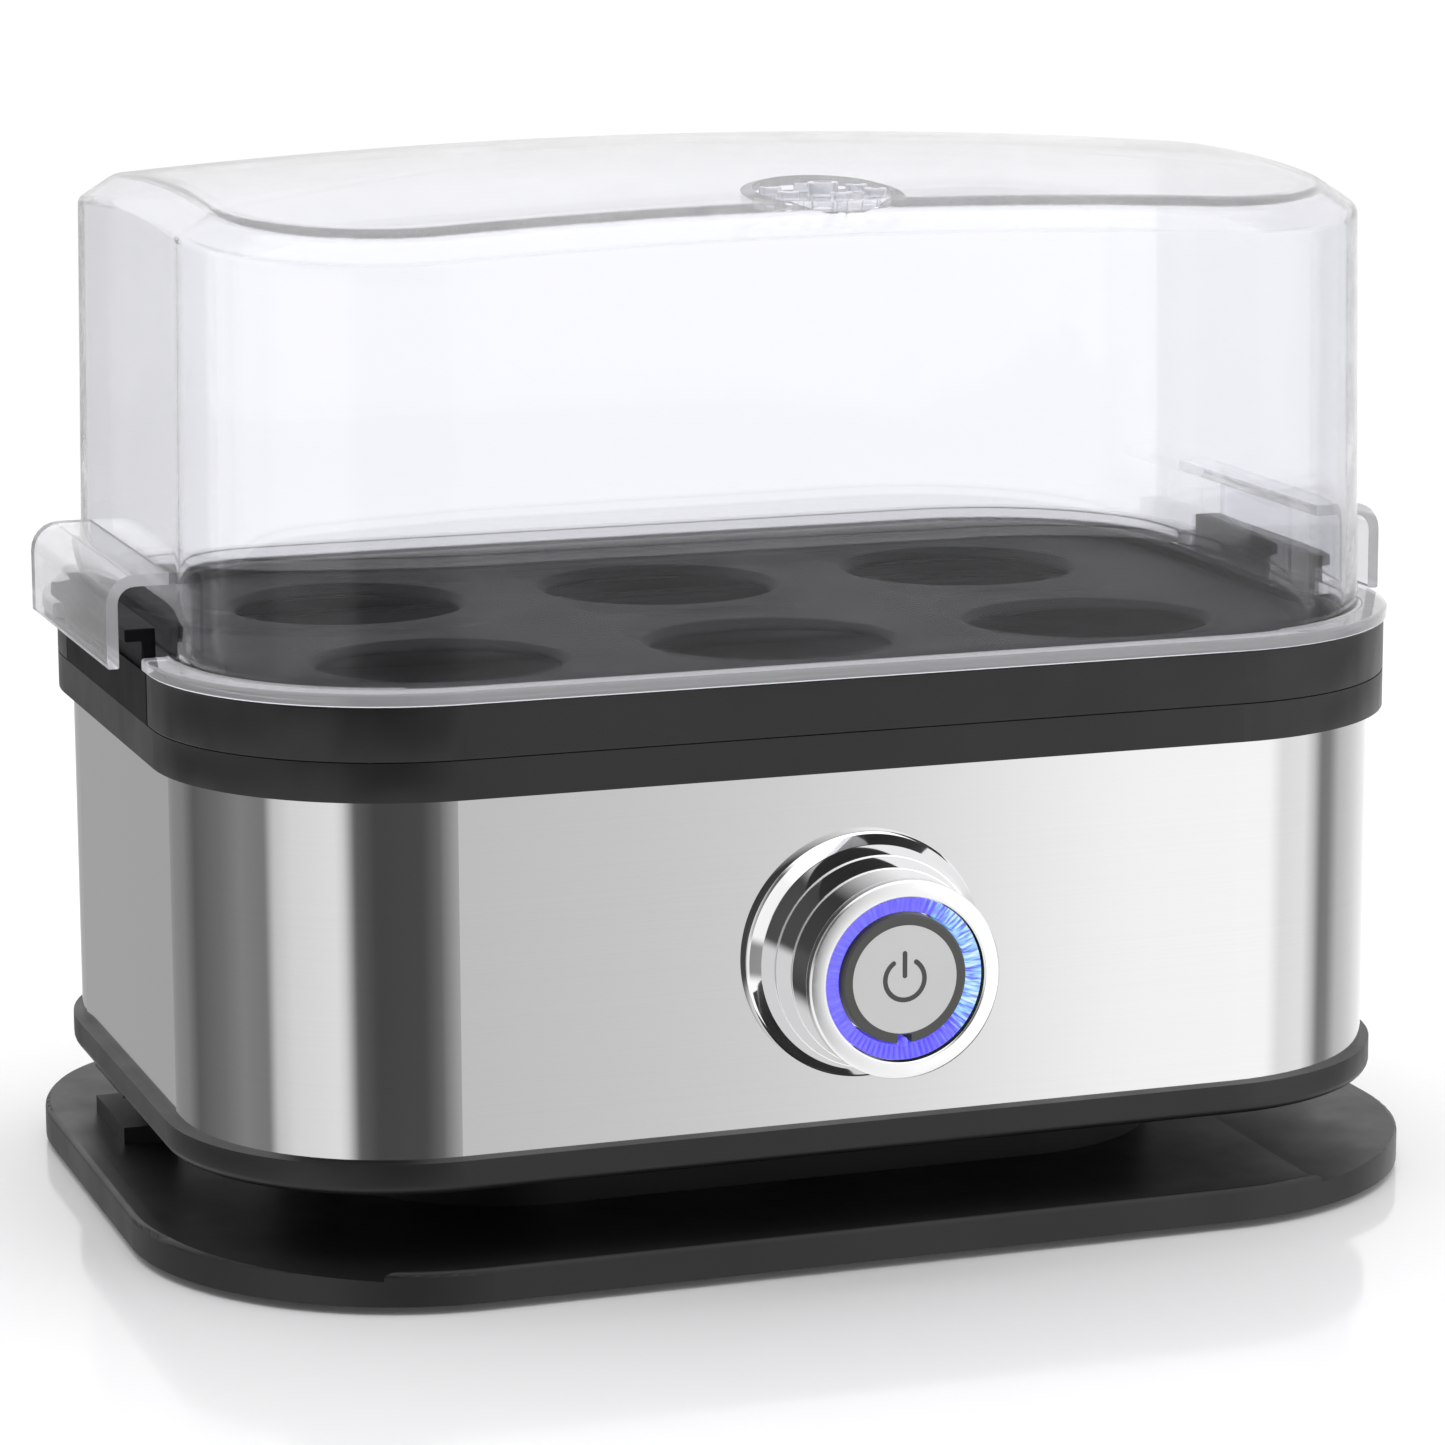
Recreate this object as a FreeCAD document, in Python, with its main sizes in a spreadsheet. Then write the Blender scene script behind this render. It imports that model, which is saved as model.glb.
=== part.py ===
import FreeCAD, Part
import math
import os
import re

import Sketcher

# Egg cooker: a lift-off clear lid over a six-egg tray, on a heated bowl in a steel-skinned housing.
# Millimetres. +Z is up, the front with its button faces -Y, and Z = 0 is the surface it stands on.
# Every moulding is drawn about the housing's own middle plane, and its Placement then moves it by
# centre_y, so that the origin is the bottom centre of the whole cooker, button included.

SIZES = {
    # feet and base plate
    "foot_stand": 1.2,
    "foot_radius": 7.0,
    "foot_recess": 1.0,
    "foot_x": 78.0,
    "foot_y": 48.0,
    "base_half_x": 104.7,
    "base_half_y": 74.85,
    "base_corner": 44.65,
    "base_height": 5.3,
    "base_rim": 3.0,
    "base_round": 0.9,
    "dish_depth": 1.4,
    "dish_flat_x": 76.0,
    "neck_half_x": 70.0,
    "neck_half_y": 42.0,
    "neck_corner": 30.0,
    "neck_wall": 2.5,
    "wrap_gap": 9.9,
    "base_boss_x": 50.0,
    "base_boss_y": 25.0,
    "base_boss_radius": 5.0,
    # cord parts
    "gland_bore": 2.9,
    "gland_body": 4.0,
    "gland_flange": 5.0,
    "gland_length": 9.0,
    "gland_height": 11.0,
    "clip_x": 92.3,
    "clip_y": 20.0,
    "clip_wide": 9.4,
    "clip_long": 21.0,
    "clip_slot": 5.0,
    # housing floor, which shows as the lower trim
    "trim_half_x": 99.3,
    "trim_half_y": 68.8,
    "trim_corner": 36.7,
    "trim_height": 5.0,
    "trim_round": 1.6,
    "floor_thick": 2.2,
    "lip_wall": 1.55,
    "lip_up": 4.6,
    "screw_head": 2.8,
    "screw_head_high": 2.0,
    "screw_shank": 1.4,
    "screw_clear": 1.7,
    "head_room": 0.4,
    "screw_sink": 3.3,
    "screw_long": 14.0,
    "column_boss": 3.8,
    "base_pilot": 6.0,
    "passage_y": 18.0,
    "passage_radius": 6.0,
    "column_x": 91.4,
    "column_y": 22.0,
    "column_radius": 3.9,
    "post_x": 30.0,
    "post_wide": 5.0,
    "post_deep": 6.0,
    "post_high": 30.0,
    # steel shell
    "shell_half_x": 97.75,
    "shell_half_y": 67.5,
    "shell_corner": 35.2,
    "shell_sheet": 0.6,
    "shell_height": 54.9,
    # top frame and rim collar, which show as the two black rings
    "ring_half_x": 100.0,
    "ring_half_y": 70.6,
    "ring_corner": 38.0,
    "frame_height": 5.9,
    "collar_height": 8.3,
    "collar_half_x": 93.9,
    "collar_half_y": 64.5,
    "collar_lip": 2.0,
    "collar_lip_in": 4.4,
    "notch_half_y": 29.3,
    "notch_in": 95.5,
    # bowl
    "bowl_half_x": 86.0,
    "bowl_half_y": 56.6,
    "bowl_corner": 27.0,
    "bowl_sheet": 1.2,
    "bowl_depth": 11.0,
    "bowl_round": 3.0,
    "frame_gap": 0.6,
    "bowl_flange": 5.5,
    "gasket_thick": 1.0,
    "gasket_wide": 3.0,
    # element and controls under the bowl
    "element_half_x": 62.0,
    "element_half_y": 34.0,
    "element_corner": 20.0,
    "element_radius": 3.25,
    "element_pin_x": 10.0,
    "pin_radius": 1.6,
    "pin_drop": 14.0,
    "thermostat_radius": 9.0,
    "thermostat_high": 9.0,
    "strap_half_x": 30.0,
    "strap_wide": 12.0,
    "strap_thick": 1.2,
    "fuse_radius": 2.2,
    "fuse_long": 20.0,
    "board_face_y": 54.0,
    "board_thick": 1.6,
    "board_half_x": 28.0,
    "board_low": 24.0,
    "board_high": 36.0,
    "switch_size": 12.0,
    "switch_deep": 3.5,
    "switch_tip": 4.9,
    "component_drop": 8.0,
    "relay_x": 4.0,
    "relay_long": 19.0,
    "relay_size": 15.0,
    "buzzer_radius": 6.0,
    "buzzer_high": 8.0,
    "buzzer_x": 12.0,
    "terminal_y": 31.0,
    "terminal_long": 30.0,
    "terminal_deep": 12.0,
    "terminal_high": 10.0,
    # button: distances out from the shell's face unless they are radii
    "button_height": 48.0,
    "bezel_flange_radius": 19.0,
    "bezel_flange_out": 2.8,
    "flange_edge": 0.4,
    "cone_one_radius": 17.3,
    "cone_one_out": 5.0,
    "cone_two_radius": 16.4,
    "cone_two_out": 8.2,
    "cone_step": 0.25,
    "barrel_foot": 12.2,
    "barrel_radius": 15.05,
    "barrel_out": 18.2,
    "button_out": 20.0,
    "ring_fall": 0.15,
    "bezel_bore": 12.5,
    "bezel_tail_radius": 14.0,
    "bezel_tail": 8.0,
    "web_out": 4.0,
    "web_thick": 2.0,
    "nut_radius": 17.5,
    "nut_thick": 3.4,
    "light_radius": 12.4,
    "light_inner": 10.0,
    "light_out": 19.3,
    "light_long": 7.2,
    "tab_wide": 1.6,
    "tab_reach": 8.7,
    "led_board_thick": 1.2,
    "cap_radius": 9.75,
    "cap_out": 19.5,
    "cap_thick": 4.0,
    "stem_radius": 3.0,
    "stem_inner": 6.9,
    "disc_radius": 8.2,
    "disc_thick": 1.2,
    "symbol_radius": 3.1,
    "symbol_stroke": 0.75,
    "symbol_deep": 0.4,
    "symbol_bar": 3.4,
    "symbol_bar_low": 0.55,
    "symbol_gap": 35.0,
    "free_gap": 0.1,
    "collar_out": 1.2,
    "collar_long": 1.5,
    "led_seat_out": 10.1,
    "spring_radius": 5.4,
    "spring_wire": 0.45,
    "spring_turns": 5.0,
    # egg tray
    "tray_half_x": 93.2,
    "tray_half_y": 63.8,
    "tray_corner": 31.2,
    "tray_top": 6.8,
    "tray_thick": 2.0,
    "tray_rim": 1.6,
    "tray_rim_up": 1.6,
    "egg_hole": 19.0,
    "egg_pitch": 54.0,
    "egg_row_y": 28.0,
    "egg_bevel": 1.2,
    "grip_half_y": 28.9,
    "grip_in": 95.9,
    "grip_wall": 2.0,
    "grip_stand_y": 24.0,
    "grip_stand_x": 97.2,
    "grip_stand": 2.2,
    "grip_top": 14.0,
    "grip_hook": 2.6,
    # lid
    "flange_over": 0.5,
    "flange_thick": 2.0,
    "lid_half_x": 96.1,
    "lid_half_y": 67.2,
    "lid_corner": 35.6,
    "lid_wall": 1.8,
    "lid_draft": 1.0,
    "lid_top": 74.5,
    "crown_long": 1100.0,
    "crown_across": 400.0,
    "crown_half": 82.0,
    "bevel_side": 6.0,
    "bevel_down": 3.3,
    "bevel_crisp": 1.6,
    "bevel_soft": 3.5,
    "ear_out": 105.6,
    "ear_half_y": 28.0,
    "ear_top": 14.7,
    "ear_wall": 1.8,
    "ear_round": 4.5,
    "vent_y": 52.0,
    "vent_seat": 70.2,
    "vent_floor": 1.8,
    "vent_radius": 10.6,
    "vent_tube": 2.35,
    "vent_ring": 8.0,
    "vent_small": 1.7,
    "vent_hole": 0.9,
    "vent_up": 1.2,
}

doc = FreeCAD.newDocument("egg_cooker")
sheet = doc.addObject("Spreadsheet::Sheet", "Sizes")


def add_size(row, name, number):
    """One driving dimension: its name in column A, its number in column B."""
    sheet.set("A%d" % row, name)
    sheet.set("B%d" % row, str(number))
    sheet.setAlias("B%d" % row, name)


# Heights of the joints between the stacked mouldings, added up from the sizes above.
S = dict(SIZES)
S["rim_z"] = S["foot_stand"] + S["base_height"]
S["trim_z"] = S["rim_z"] + S["wrap_gap"]
S["floor_z"] = S["trim_z"] + S["floor_thick"]
S["shell_z"] = S["trim_z"] + S["trim_height"]
S["frame_z"] = S["shell_z"] + S["shell_height"]
S["collar_z"] = S["frame_z"] + S["frame_height"]
S["seat_z"] = S["collar_z"] + S["collar_height"]
S["bowl_z"] = S["collar_z"] - S["bowl_depth"]
S["centre_y"] = (S["shell_half_y"] + S["button_out"] - S["base_half_y"]) / 2

# The lid's inner bevel, which leaves a wall of the same thickness over the slope.
slope = math.hypot(S["bevel_side"], S["bevel_down"])
taken = S["lid_wall"] * (1 + (S["bevel_side"] - slope) / S["bevel_down"])
S["inner_bevel_side"] = S["bevel_side"] - taken
S["inner_bevel_down"] = S["inner_bevel_side"] * S["bevel_down"] / S["bevel_side"]

for number, name in enumerate(S, start=1):
    add_size(number, name, round(S[name], 4))
doc.recompute()

sub_parts = []


def bound(text):
    """A sum of size names as an expression on the sheet."""
    return re.sub(r"[a-z]\w*", lambda word: "Sizes." + word.group(), text)


def amount(text):
    """The number that such a sum comes to."""
    return float(sheet.evalExpression(bound(text)))


def bind(thing, field, text):
    thing.setExpression(field, bound(text))


def keep(thing, label, y="centre_y", z="0"):
    """Name a finished sub-part and place it in the frame."""
    thing.Label = label
    bind(thing, "Placement.Base.y", y)
    bind(thing, "Placement.Base.z", z)
    sub_parts.append(thing)
    return thing


# ---- sketches ----


def new_body(name):
    return doc.addObject("PartDesign::Body", name + "_body")


def origin_item(body, role):
    return [item for item in body.Origin.OriginFeatures if item.Role == role][0]


def new_sketch(body, role="XY_Plane", lift="0"):
    sketch = body.newObject("Sketcher::SketchObject", body.Name + "_sketch")
    sketch.AttachmentSupport = (origin_item(body, role), "")
    sketch.MapMode = "FlatFace"
    bind(sketch, "AttachmentOffset.Base.z", lift)
    return sketch


def bind_last(sketch, text):
    bind(sketch, "Constraints[%d]" % (sketch.ConstraintCount - 1), text)


def pin_point(sketch, line, end, x, y):
    """Hold one end of a line at (x, y), each a sum of size names."""
    for kind, text, axis in (("DistanceX", x, -2), ("DistanceY", y, -1)):
        if text == "0":
            sketch.addConstraint(Sketcher.Constraint("PointOnObject", line, end, axis))
        else:
            rule = Sketcher.Constraint(kind, -1, 1, line, end, amount(text))
            sketch.addConstraint(rule)
            bind_last(sketch, text)


def draw_polygon(sketch, points):
    """A closed outline of straight lines through the points, each bound to the sheet."""
    spots = [FreeCAD.Vector(amount(x), amount(y), 0) for x, y in points]
    first = sketch.GeometryCount
    count = len(points)
    for i in range(count):
        sketch.addGeometry(Part.LineSegment(spots[i], spots[(i + 1) % count]), False)
    for i in range(count):
        after = first + (i + 1) % count
        sketch.addConstraint(Sketcher.Constraint("Coincident", first + i, 2, after, 1))
        pin_point(sketch, first + i, 1, *points[i])


def draw_box(sketch, x_low, y_low, x_high, y_high):
    corners = [(x_low, y_low), (x_high, y_low), (x_high, y_high), (x_low, y_high)]
    draw_polygon(sketch, corners)


def draw_circle(sketch, x, y, radius):
    spot = FreeCAD.Vector(amount(x), amount(y), 0)
    ring = sketch.addGeometry(Part.Circle(spot, FreeCAD.Vector(0, 0, 1), amount(radius)), False)
    sketch.addConstraint(Sketcher.Constraint("Radius", ring, amount(radius)))
    bind_last(sketch, radius)
    pin_point(sketch, ring, 3, x, y)


def draw_rounded(sketch, half_x, half_y, corner):
    """A rounded rectangle about the sketch's origin."""
    hx, hy, r = amount(half_x), amount(half_y), amount(corner)
    first = sketch.GeometryCount
    turn = math.pi / 2
    up = FreeCAD.Vector(0, 0, 1)
    ends = [
        ((hx, -hy + r), (hx, hy - r)),
        ((hx - r, hy), (-hx + r, hy)),
        ((-hx, hy - r), (-hx, -hy + r)),
        ((-hx + r, -hy), (hx - r, -hy)),
    ]
    centres = [(hx - r, hy - r), (-hx + r, hy - r), (-hx + r, -hy + r), (hx - r, -hy + r)]
    for i in range(4):
        start, end = [FreeCAD.Vector(x, y, 0) for x, y in ends[i]]
        sketch.addGeometry(Part.LineSegment(start, end), False)
        middle = FreeCAD.Vector(*centres[i], 0)
        circle = Part.Circle(middle, up, r)
        sketch.addGeometry(Part.ArcOfCircle(circle, i * turn, (i + 1) * turn), False)
    for i in range(4):
        line, arc, after = first + 2 * i, first + 2 * i + 1, first + (2 * i + 2) % 8
        sketch.addConstraint(Sketcher.Constraint("Tangent", line, 2, arc, 1))
        sketch.addConstraint(Sketcher.Constraint("Tangent", arc, 2, after, 1))
        sketch.addConstraint(Sketcher.Constraint("Vertical" if i % 2 == 0 else "Horizontal", line))
    for i in range(1, 4):
        sketch.addConstraint(Sketcher.Constraint("Equal", first + 1, first + 2 * i + 1))
    sketch.addConstraint(Sketcher.Constraint("Symmetric", first + 1, 3, first + 5, 3, -1, 1))
    sketch.addConstraint(Sketcher.Constraint("DistanceX", -1, 1, first, 1, hx))
    bind_last(sketch, half_x)
    sketch.addConstraint(Sketcher.Constraint("DistanceY", -1, 1, first + 2, 1, hy))
    bind_last(sketch, half_y)
    sketch.addConstraint(Sketcher.Constraint("Radius", first + 1, r))
    bind_last(sketch, corner)


# ---- features ----


def pad(body, sketch, length, both_ways=False, taper=None):
    feature = body.newObject("PartDesign::Pad", body.Name + "_pad")
    feature.Profile = sketch
    feature.SideType = "Symmetric" if both_ways else "One side"
    bind(feature, "Length", length)
    if taper:
        feature.setExpression("TaperAngle", "-" + bound(taper))
    doc.recompute()
    return feature


def pocket(body, sketch, depth, downward=True, both_ways=False):
    """Cut a sketch out of the body, and stop if nothing was cut."""
    before = body.Shape.Volume
    feature = body.newObject("PartDesign::Pocket", body.Name + "_pocket")
    feature.Profile = sketch
    feature.SideType = "Symmetric" if both_ways else "One side"
    feature.Reversed = not downward
    bind(feature, "Length", depth)
    doc.recompute()
    if body.Shape.Volume > before - 1e-3:
        raise RuntimeError("%s cuts nothing" % feature.Name)
    return feature


def revolve(body, points):
    """Turn an outline of (radius, height) points about the body's Z axis."""
    sketch = new_sketch(body, "XZ_Plane")
    draw_polygon(sketch, points)
    feature = body.newObject("PartDesign::Revolution", body.Name + "_turned")
    feature.Profile = sketch
    feature.ReferenceAxis = (origin_item(body, "Z_Axis"), [""])
    feature.Angle = 360
    doc.recompute()
    return feature


def edges_where(shape, test):
    return ["Edge%d" % n for n, edge in enumerate(shape.Edges, start=1) if test(edge)]


def level_edges(height):
    """A test for the edges that lie at one height."""

    def test(edge):
        box = edge.BoundBox
        return abs(box.ZMin - height) < 1e-3 and abs(box.ZMax - height) < 1e-3

    return test


def round_edges(body, base, test, radius):
    feature = body.newObject("PartDesign::Fillet", body.Name + "_round")
    feature.Base = (base, edges_where(base.Shape, test))
    bind(feature, "Radius", radius)
    doc.recompute()
    return feature


def ring_pad(body, lift, length, outer, inner):
    """A raised band between two rounded rectangles, each (half x, half y, corner)."""
    sketch = new_sketch(body, lift=lift)
    draw_rounded(sketch, *outer)
    draw_rounded(sketch, *inner)
    return pad(body, sketch, length)


def inset(outline, by):
    """A rounded rectangle drawn in by a distance."""
    return tuple("%s - %s" % (size, by) for size in outline)


BASE = ("base_half_x", "base_half_y", "base_corner")
NECK = ("neck_half_x", "neck_half_y", "neck_corner")
TRIM = ("trim_half_x", "trim_half_y", "trim_corner")
SHELL = ("shell_half_x", "shell_half_y", "shell_corner")
SHELL_INSIDE = inset(SHELL, "shell_sheet")
LIP_INSIDE = inset(SHELL_INSIDE, "lip_wall")
RING = ("ring_half_x", "ring_half_y", "ring_corner")
COLLAR_INSIDE = ("collar_half_x", "collar_half_y", "ring_corner - ring_half_x + collar_half_x")
BOWL = ("bowl_half_x", "bowl_half_y", "bowl_corner")
BOWL_FLANGE = inset(BOWL, "(0 - bowl_flange)")
BOWL_HOLE = inset(BOWL, "(0 - bowl_sheet - frame_gap)")
TRAY = ("tray_half_x", "tray_half_y", "tray_corner")
LID = ("lid_half_x", "lid_half_y", "lid_corner")


def draw_corner_circles(sketch, x, y, radius):
    """A circle at each corner of a rectangle about the sketch's origin."""
    for side in ("", "0 - "):
        for end in ("", "0 - "):
            draw_circle(sketch, side + x, end + y, radius)


def corner_posts(body, x, y, radius, lift, length):
    sketch = new_sketch(body, lift=lift)
    draw_corner_circles(sketch, x, y, radius)
    return pad(body, sketch, length)


def corner_holes(body, x, y, radius, lift, depth):
    """Round holes upward from a level."""
    sketch = new_sketch(body, lift=lift)
    draw_corner_circles(sketch, x, y, radius)
    return pocket(body, sketch, depth, downward=False)


def draw_both_sides(sketch, x_low, y_low, x_high, y_high):
    """A box on the right and its mirror image on the left."""
    draw_box(sketch, x_low, y_low, x_high, y_high)
    draw_box(sketch, "0 - (%s)" % x_high, y_low, "0 - (%s)" % x_low, y_high)


def side_pads(body, lift, length, x_low, y_half, x_high):
    sketch = new_sketch(body, lift=lift)
    draw_both_sides(sketch, x_low, "0 - " + y_half, x_high, y_half)
    return pad(body, sketch, length)


def side_pockets(body, lift, length, x_low, y_half, x_high):
    sketch = new_sketch(body, lift=lift)
    draw_both_sides(sketch, x_low, "0 - (%s)" % y_half, x_high, y_half)
    return pocket(body, sketch, length, downward=False)


# ---- base ----


def make_base_plate():
    body = new_body("base_plate")
    outline = new_sketch(body, lift="foot_stand")
    draw_rounded(outline, *BASE)
    slab = pad(body, outline, "base_height")
    round_edges(body, slab, level_edges(S["rim_z"]), "base_round")
    dish = new_sketch(body, "XZ_Plane")
    draw_polygon(
        dish,
        [
            ("base_rim - base_half_x", "rim_z"),
            ("0 - dish_flat_x", "rim_z - dish_depth"),
            ("dish_flat_x", "rim_z - dish_depth"),
            ("base_half_x - base_rim", "rim_z"),
            ("base_half_x - base_rim", "rim_z + 1"),
            ("base_rim - base_half_x", "rim_z + 1"),
        ],
    )
    pocket(body, dish, "2 * base_half_y - 2 * base_rim", both_ways=True)
    ring_pad(body, "rim_z - dish_depth", "dish_depth + wrap_gap", NECK, inset(NECK, "neck_wall"))
    boss_high = "dish_depth + wrap_gap"
    corner_posts(
        body, "base_boss_x", "base_boss_y", "base_boss_radius", "rim_z - dish_depth", boss_high
    )
    corner_holes(body, "base_boss_x", "base_boss_y", "screw_clear", "foot_stand", "trim_z")
    corner_holes(body, "base_boss_x", "base_boss_y", "screw_head + head_room", "foot_stand", "rim_z")
    corner_holes(body, "foot_x", "foot_y", "foot_radius + 0.1", "foot_stand", "foot_recess")
    clip = new_sketch(body, lift="rim_z - dish_depth")
    clip_in = "clip_wide / 2 - clip_x"
    clip_out = "0 - clip_wide / 2 - clip_x"
    draw_box(clip, clip_out, "clip_y - clip_long / 2", clip_in, "clip_y + clip_long / 2")
    pad(body, clip, "dish_depth + wrap_gap - 0.4")
    slot = new_sketch(body, lift="rim_z + wrap_gap / 2 - clip_slot / 2")
    draw_box(slot, clip_out + " - 1", "0", clip_in + " - 2", "2 * clip_y")
    pocket(body, slot, "clip_slot", downward=False)
    gland_hole = new_sketch(body, "XZ_Plane", "0 - neck_half_y - 1")
    draw_circle(gland_hole, "0", "gland_height", "gland_body")
    pocket(body, gland_hole, "neck_wall + 2", downward=False)
    keep(body, "base_plate")


def turned_piece(label, profile):
    body = new_body(label)
    revolve(body, profile)
    return body


def group_of(label, pieces):
    """One node that holds several separate solids."""
    group = doc.addObject("Part::Compound", label + "_group")
    group.Links = pieces
    doc.recompute()
    return keep(group, label)


def at_four_corners(label, profile, x, y, z):
    """The same turned piece at the four corners of a rectangle."""
    copies = []
    for side in ("", "0 - "):
        for end in ("", "0 - "):
            body = turned_piece(label, profile)
            bind(body, "Placement.Base.x", side + x)
            bind(body, "Placement.Base.y", end + y)
            bind(body, "Placement.Base.z", z)
            copies.append(body)
    return group_of(label, copies)


FOOT = [
    ("0", "0"),
    ("foot_radius - 0.5", "0"),
    ("foot_radius", "0.5"),
    ("foot_radius", "foot_stand + foot_recess"),
    ("0", "foot_stand + foot_recess"),
]
SCREW = [
    ("0", "0"),
    ("screw_head", "0"),
    ("screw_head", "screw_head_high - 0.6"),
    ("screw_head - 0.4", "screw_head_high"),
    ("screw_shank", "screw_head_high"),
    ("screw_shank", "screw_long - 1"),
    ("0", "screw_long"),
]


def make_base_fixings():
    at_four_corners("rubber_feet", FOOT, "foot_x", "foot_y", "0")
    seat = "foot_stand + rim_z - screw_head_high"
    at_four_corners("base_screws", SCREW, "base_boss_x", "base_boss_y", seat)
    seat = "trim_z + screw_sink - screw_head_high"
    at_four_corners("housing_screws", SCREW, "column_x", "column_y", seat)


def make_cord_gland():
    half = "gland_length / 2"
    body = turned_piece(
        "cord_gland",
        [
            ("gland_bore", "0 - " + half),
            ("gland_body", "0 - " + half),
            ("gland_body", "0"),
            ("gland_flange", "0"),
            ("gland_flange", "1.5"),
            ("gland_body", "1.5"),
            ("gland_body - 0.4", half),
            ("gland_bore", half),
        ],
    )
    keep(body, "cord_gland", "centre_y + neck_half_y", "gland_height")
    body.Placement.Rotation = FreeCAD.Rotation(FreeCAD.Vector(1, 0, 0), -90)


# ---- housing ----


def make_housing_floor():
    body = new_body("housing_floor")
    outline = new_sketch(body, lift="trim_z")
    draw_rounded(outline, *TRIM)
    slab = pad(body, outline, "trim_height")
    round_edges(body, slab, level_edges(S["trim_z"]), "trim_round")
    well = new_sketch(body, lift="shell_z")
    draw_rounded(well, *LIP_INSIDE)
    pocket(body, well, "trim_height - floor_thick")
    ring_pad(body, "shell_z - 0.5", "lip_up + 0.5", SHELL_INSIDE, LIP_INSIDE)
    corner_posts(body, "column_x", "column_y", "column_radius", "floor_z", "column_boss")
    corner_posts(body, "base_boss_x", "base_boss_y", "column_radius", "floor_z", "base_pilot")
    corner_holes(body, "column_x", "column_y", "screw_clear", "trim_z", "trim_z")
    corner_holes(body, "column_x", "column_y", "screw_head + head_room", "trim_z", "screw_sink")
    corner_holes(body, "base_boss_x", "base_boss_y", "screw_shank", "trim_z", "base_pilot")
    posts = new_sketch(body, lift="floor_z")
    back = "post_deep / 2 - board_face_y - board_thick / 2"
    front = "0 - post_deep / 2 - board_face_y - board_thick / 2"
    draw_both_sides(posts, "post_x - post_wide", front, "post_x", back)
    pad(body, posts, "post_high")
    slots = new_sketch(body, lift="board_low")
    draw_both_sides(
        slots,
        "post_x - post_wide - 1",
        "0 - board_face_y - 0.05",
        "board_half_x + 0.1",
        "board_thick - board_face_y + 0.05",
    )
    pocket(body, slots, "post_high", downward=False)
    passage = new_sketch(body, lift="trim_z")
    draw_circle(passage, "0", "passage_y", "passage_radius")
    pocket(body, passage, "trim_height", downward=False)
    keep(body, "housing_floor")


def make_steel_shell():
    body = new_body("steel_shell")
    ring_pad(body, "shell_z", "shell_height", SHELL, SHELL_INSIDE)
    hole = new_sketch(body, "XZ_Plane", "shell_half_y + 1")
    draw_circle(hole, "0", "button_height", "bezel_tail_radius + 0.1")
    pocket(body, hole, "shell_sheet + 2")
    keep(body, "steel_shell")


def make_top_frame():
    body = new_body("top_frame")
    ring_pad(body, "frame_z", "frame_height", RING, BOWL_HOLE)
    ledge = new_sketch(body, lift="collar_z")
    draw_rounded(ledge, *inset(BOWL_FLANGE, "(0 - 0.2)"))
    pocket(body, ledge, "gasket_thick + bowl_sheet")
    ring_pad(body, "frame_z - lip_up", "lip_up", SHELL_INSIDE, LIP_INSIDE)
    low = "floor_z + column_boss"
    corner_posts(body, "column_x", "column_y", "column_radius", low, "frame_z - floor_z - column_boss")
    corner_holes(body, "column_x", "column_y", "screw_shank", low, "screw_long")
    keep(body, "top_frame")


def make_rim_collar():
    body = new_body("rim_collar")
    ring_pad(body, "collar_z", "collar_height", RING, COLLAR_INSIDE)
    lip = inset(COLLAR_INSIDE, "collar_lip_in")
    ring_pad(body, "collar_z", "collar_lip", inset(COLLAR_INSIDE, "(0 - 0.5)"), lip)
    deep = "collar_height + 1"
    over = "ring_half_x + 1"
    side_pockets(body, "collar_z", deep, "notch_in", "notch_half_y", over)
    side_pockets(body, "collar_z + collar_lip", deep, "collar_half_x - 2", "notch_half_y", over)
    keep(body, "rim_collar")


# ---- bowl and what is under it ----


def make_heating_bowl():
    body = new_body("heating_bowl")
    outline = new_sketch(body, lift="bowl_z - bowl_sheet")
    draw_rounded(outline, *inset(BOWL, "(0 - bowl_sheet)"))
    tub = pad(body, outline, "bowl_depth")
    round_edges(body, tub, level_edges(S["bowl_z"] - S["bowl_sheet"]), "bowl_round + 1")
    flange = new_sketch(body, lift="collar_z - bowl_sheet")
    draw_rounded(flange, *BOWL_FLANGE)
    pad(body, flange, "bowl_sheet")
    hollow = new_sketch(body, lift="collar_z")
    draw_rounded(hollow, *BOWL)
    cut = pocket(body, hollow, "bowl_depth")
    round_edges(body, cut, level_edges(S["bowl_z"]), "bowl_round")
    keep(body, "heating_bowl")


def make_bowl_gasket():
    body = new_body("bowl_gasket")
    low = "collar_z - bowl_sheet - gasket_thick"
    ring_pad(body, low, "gasket_thick", BOWL_FLANGE, inset(BOWL_FLANGE, "gasket_wide"))
    keep(body, "bowl_gasket")


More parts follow.
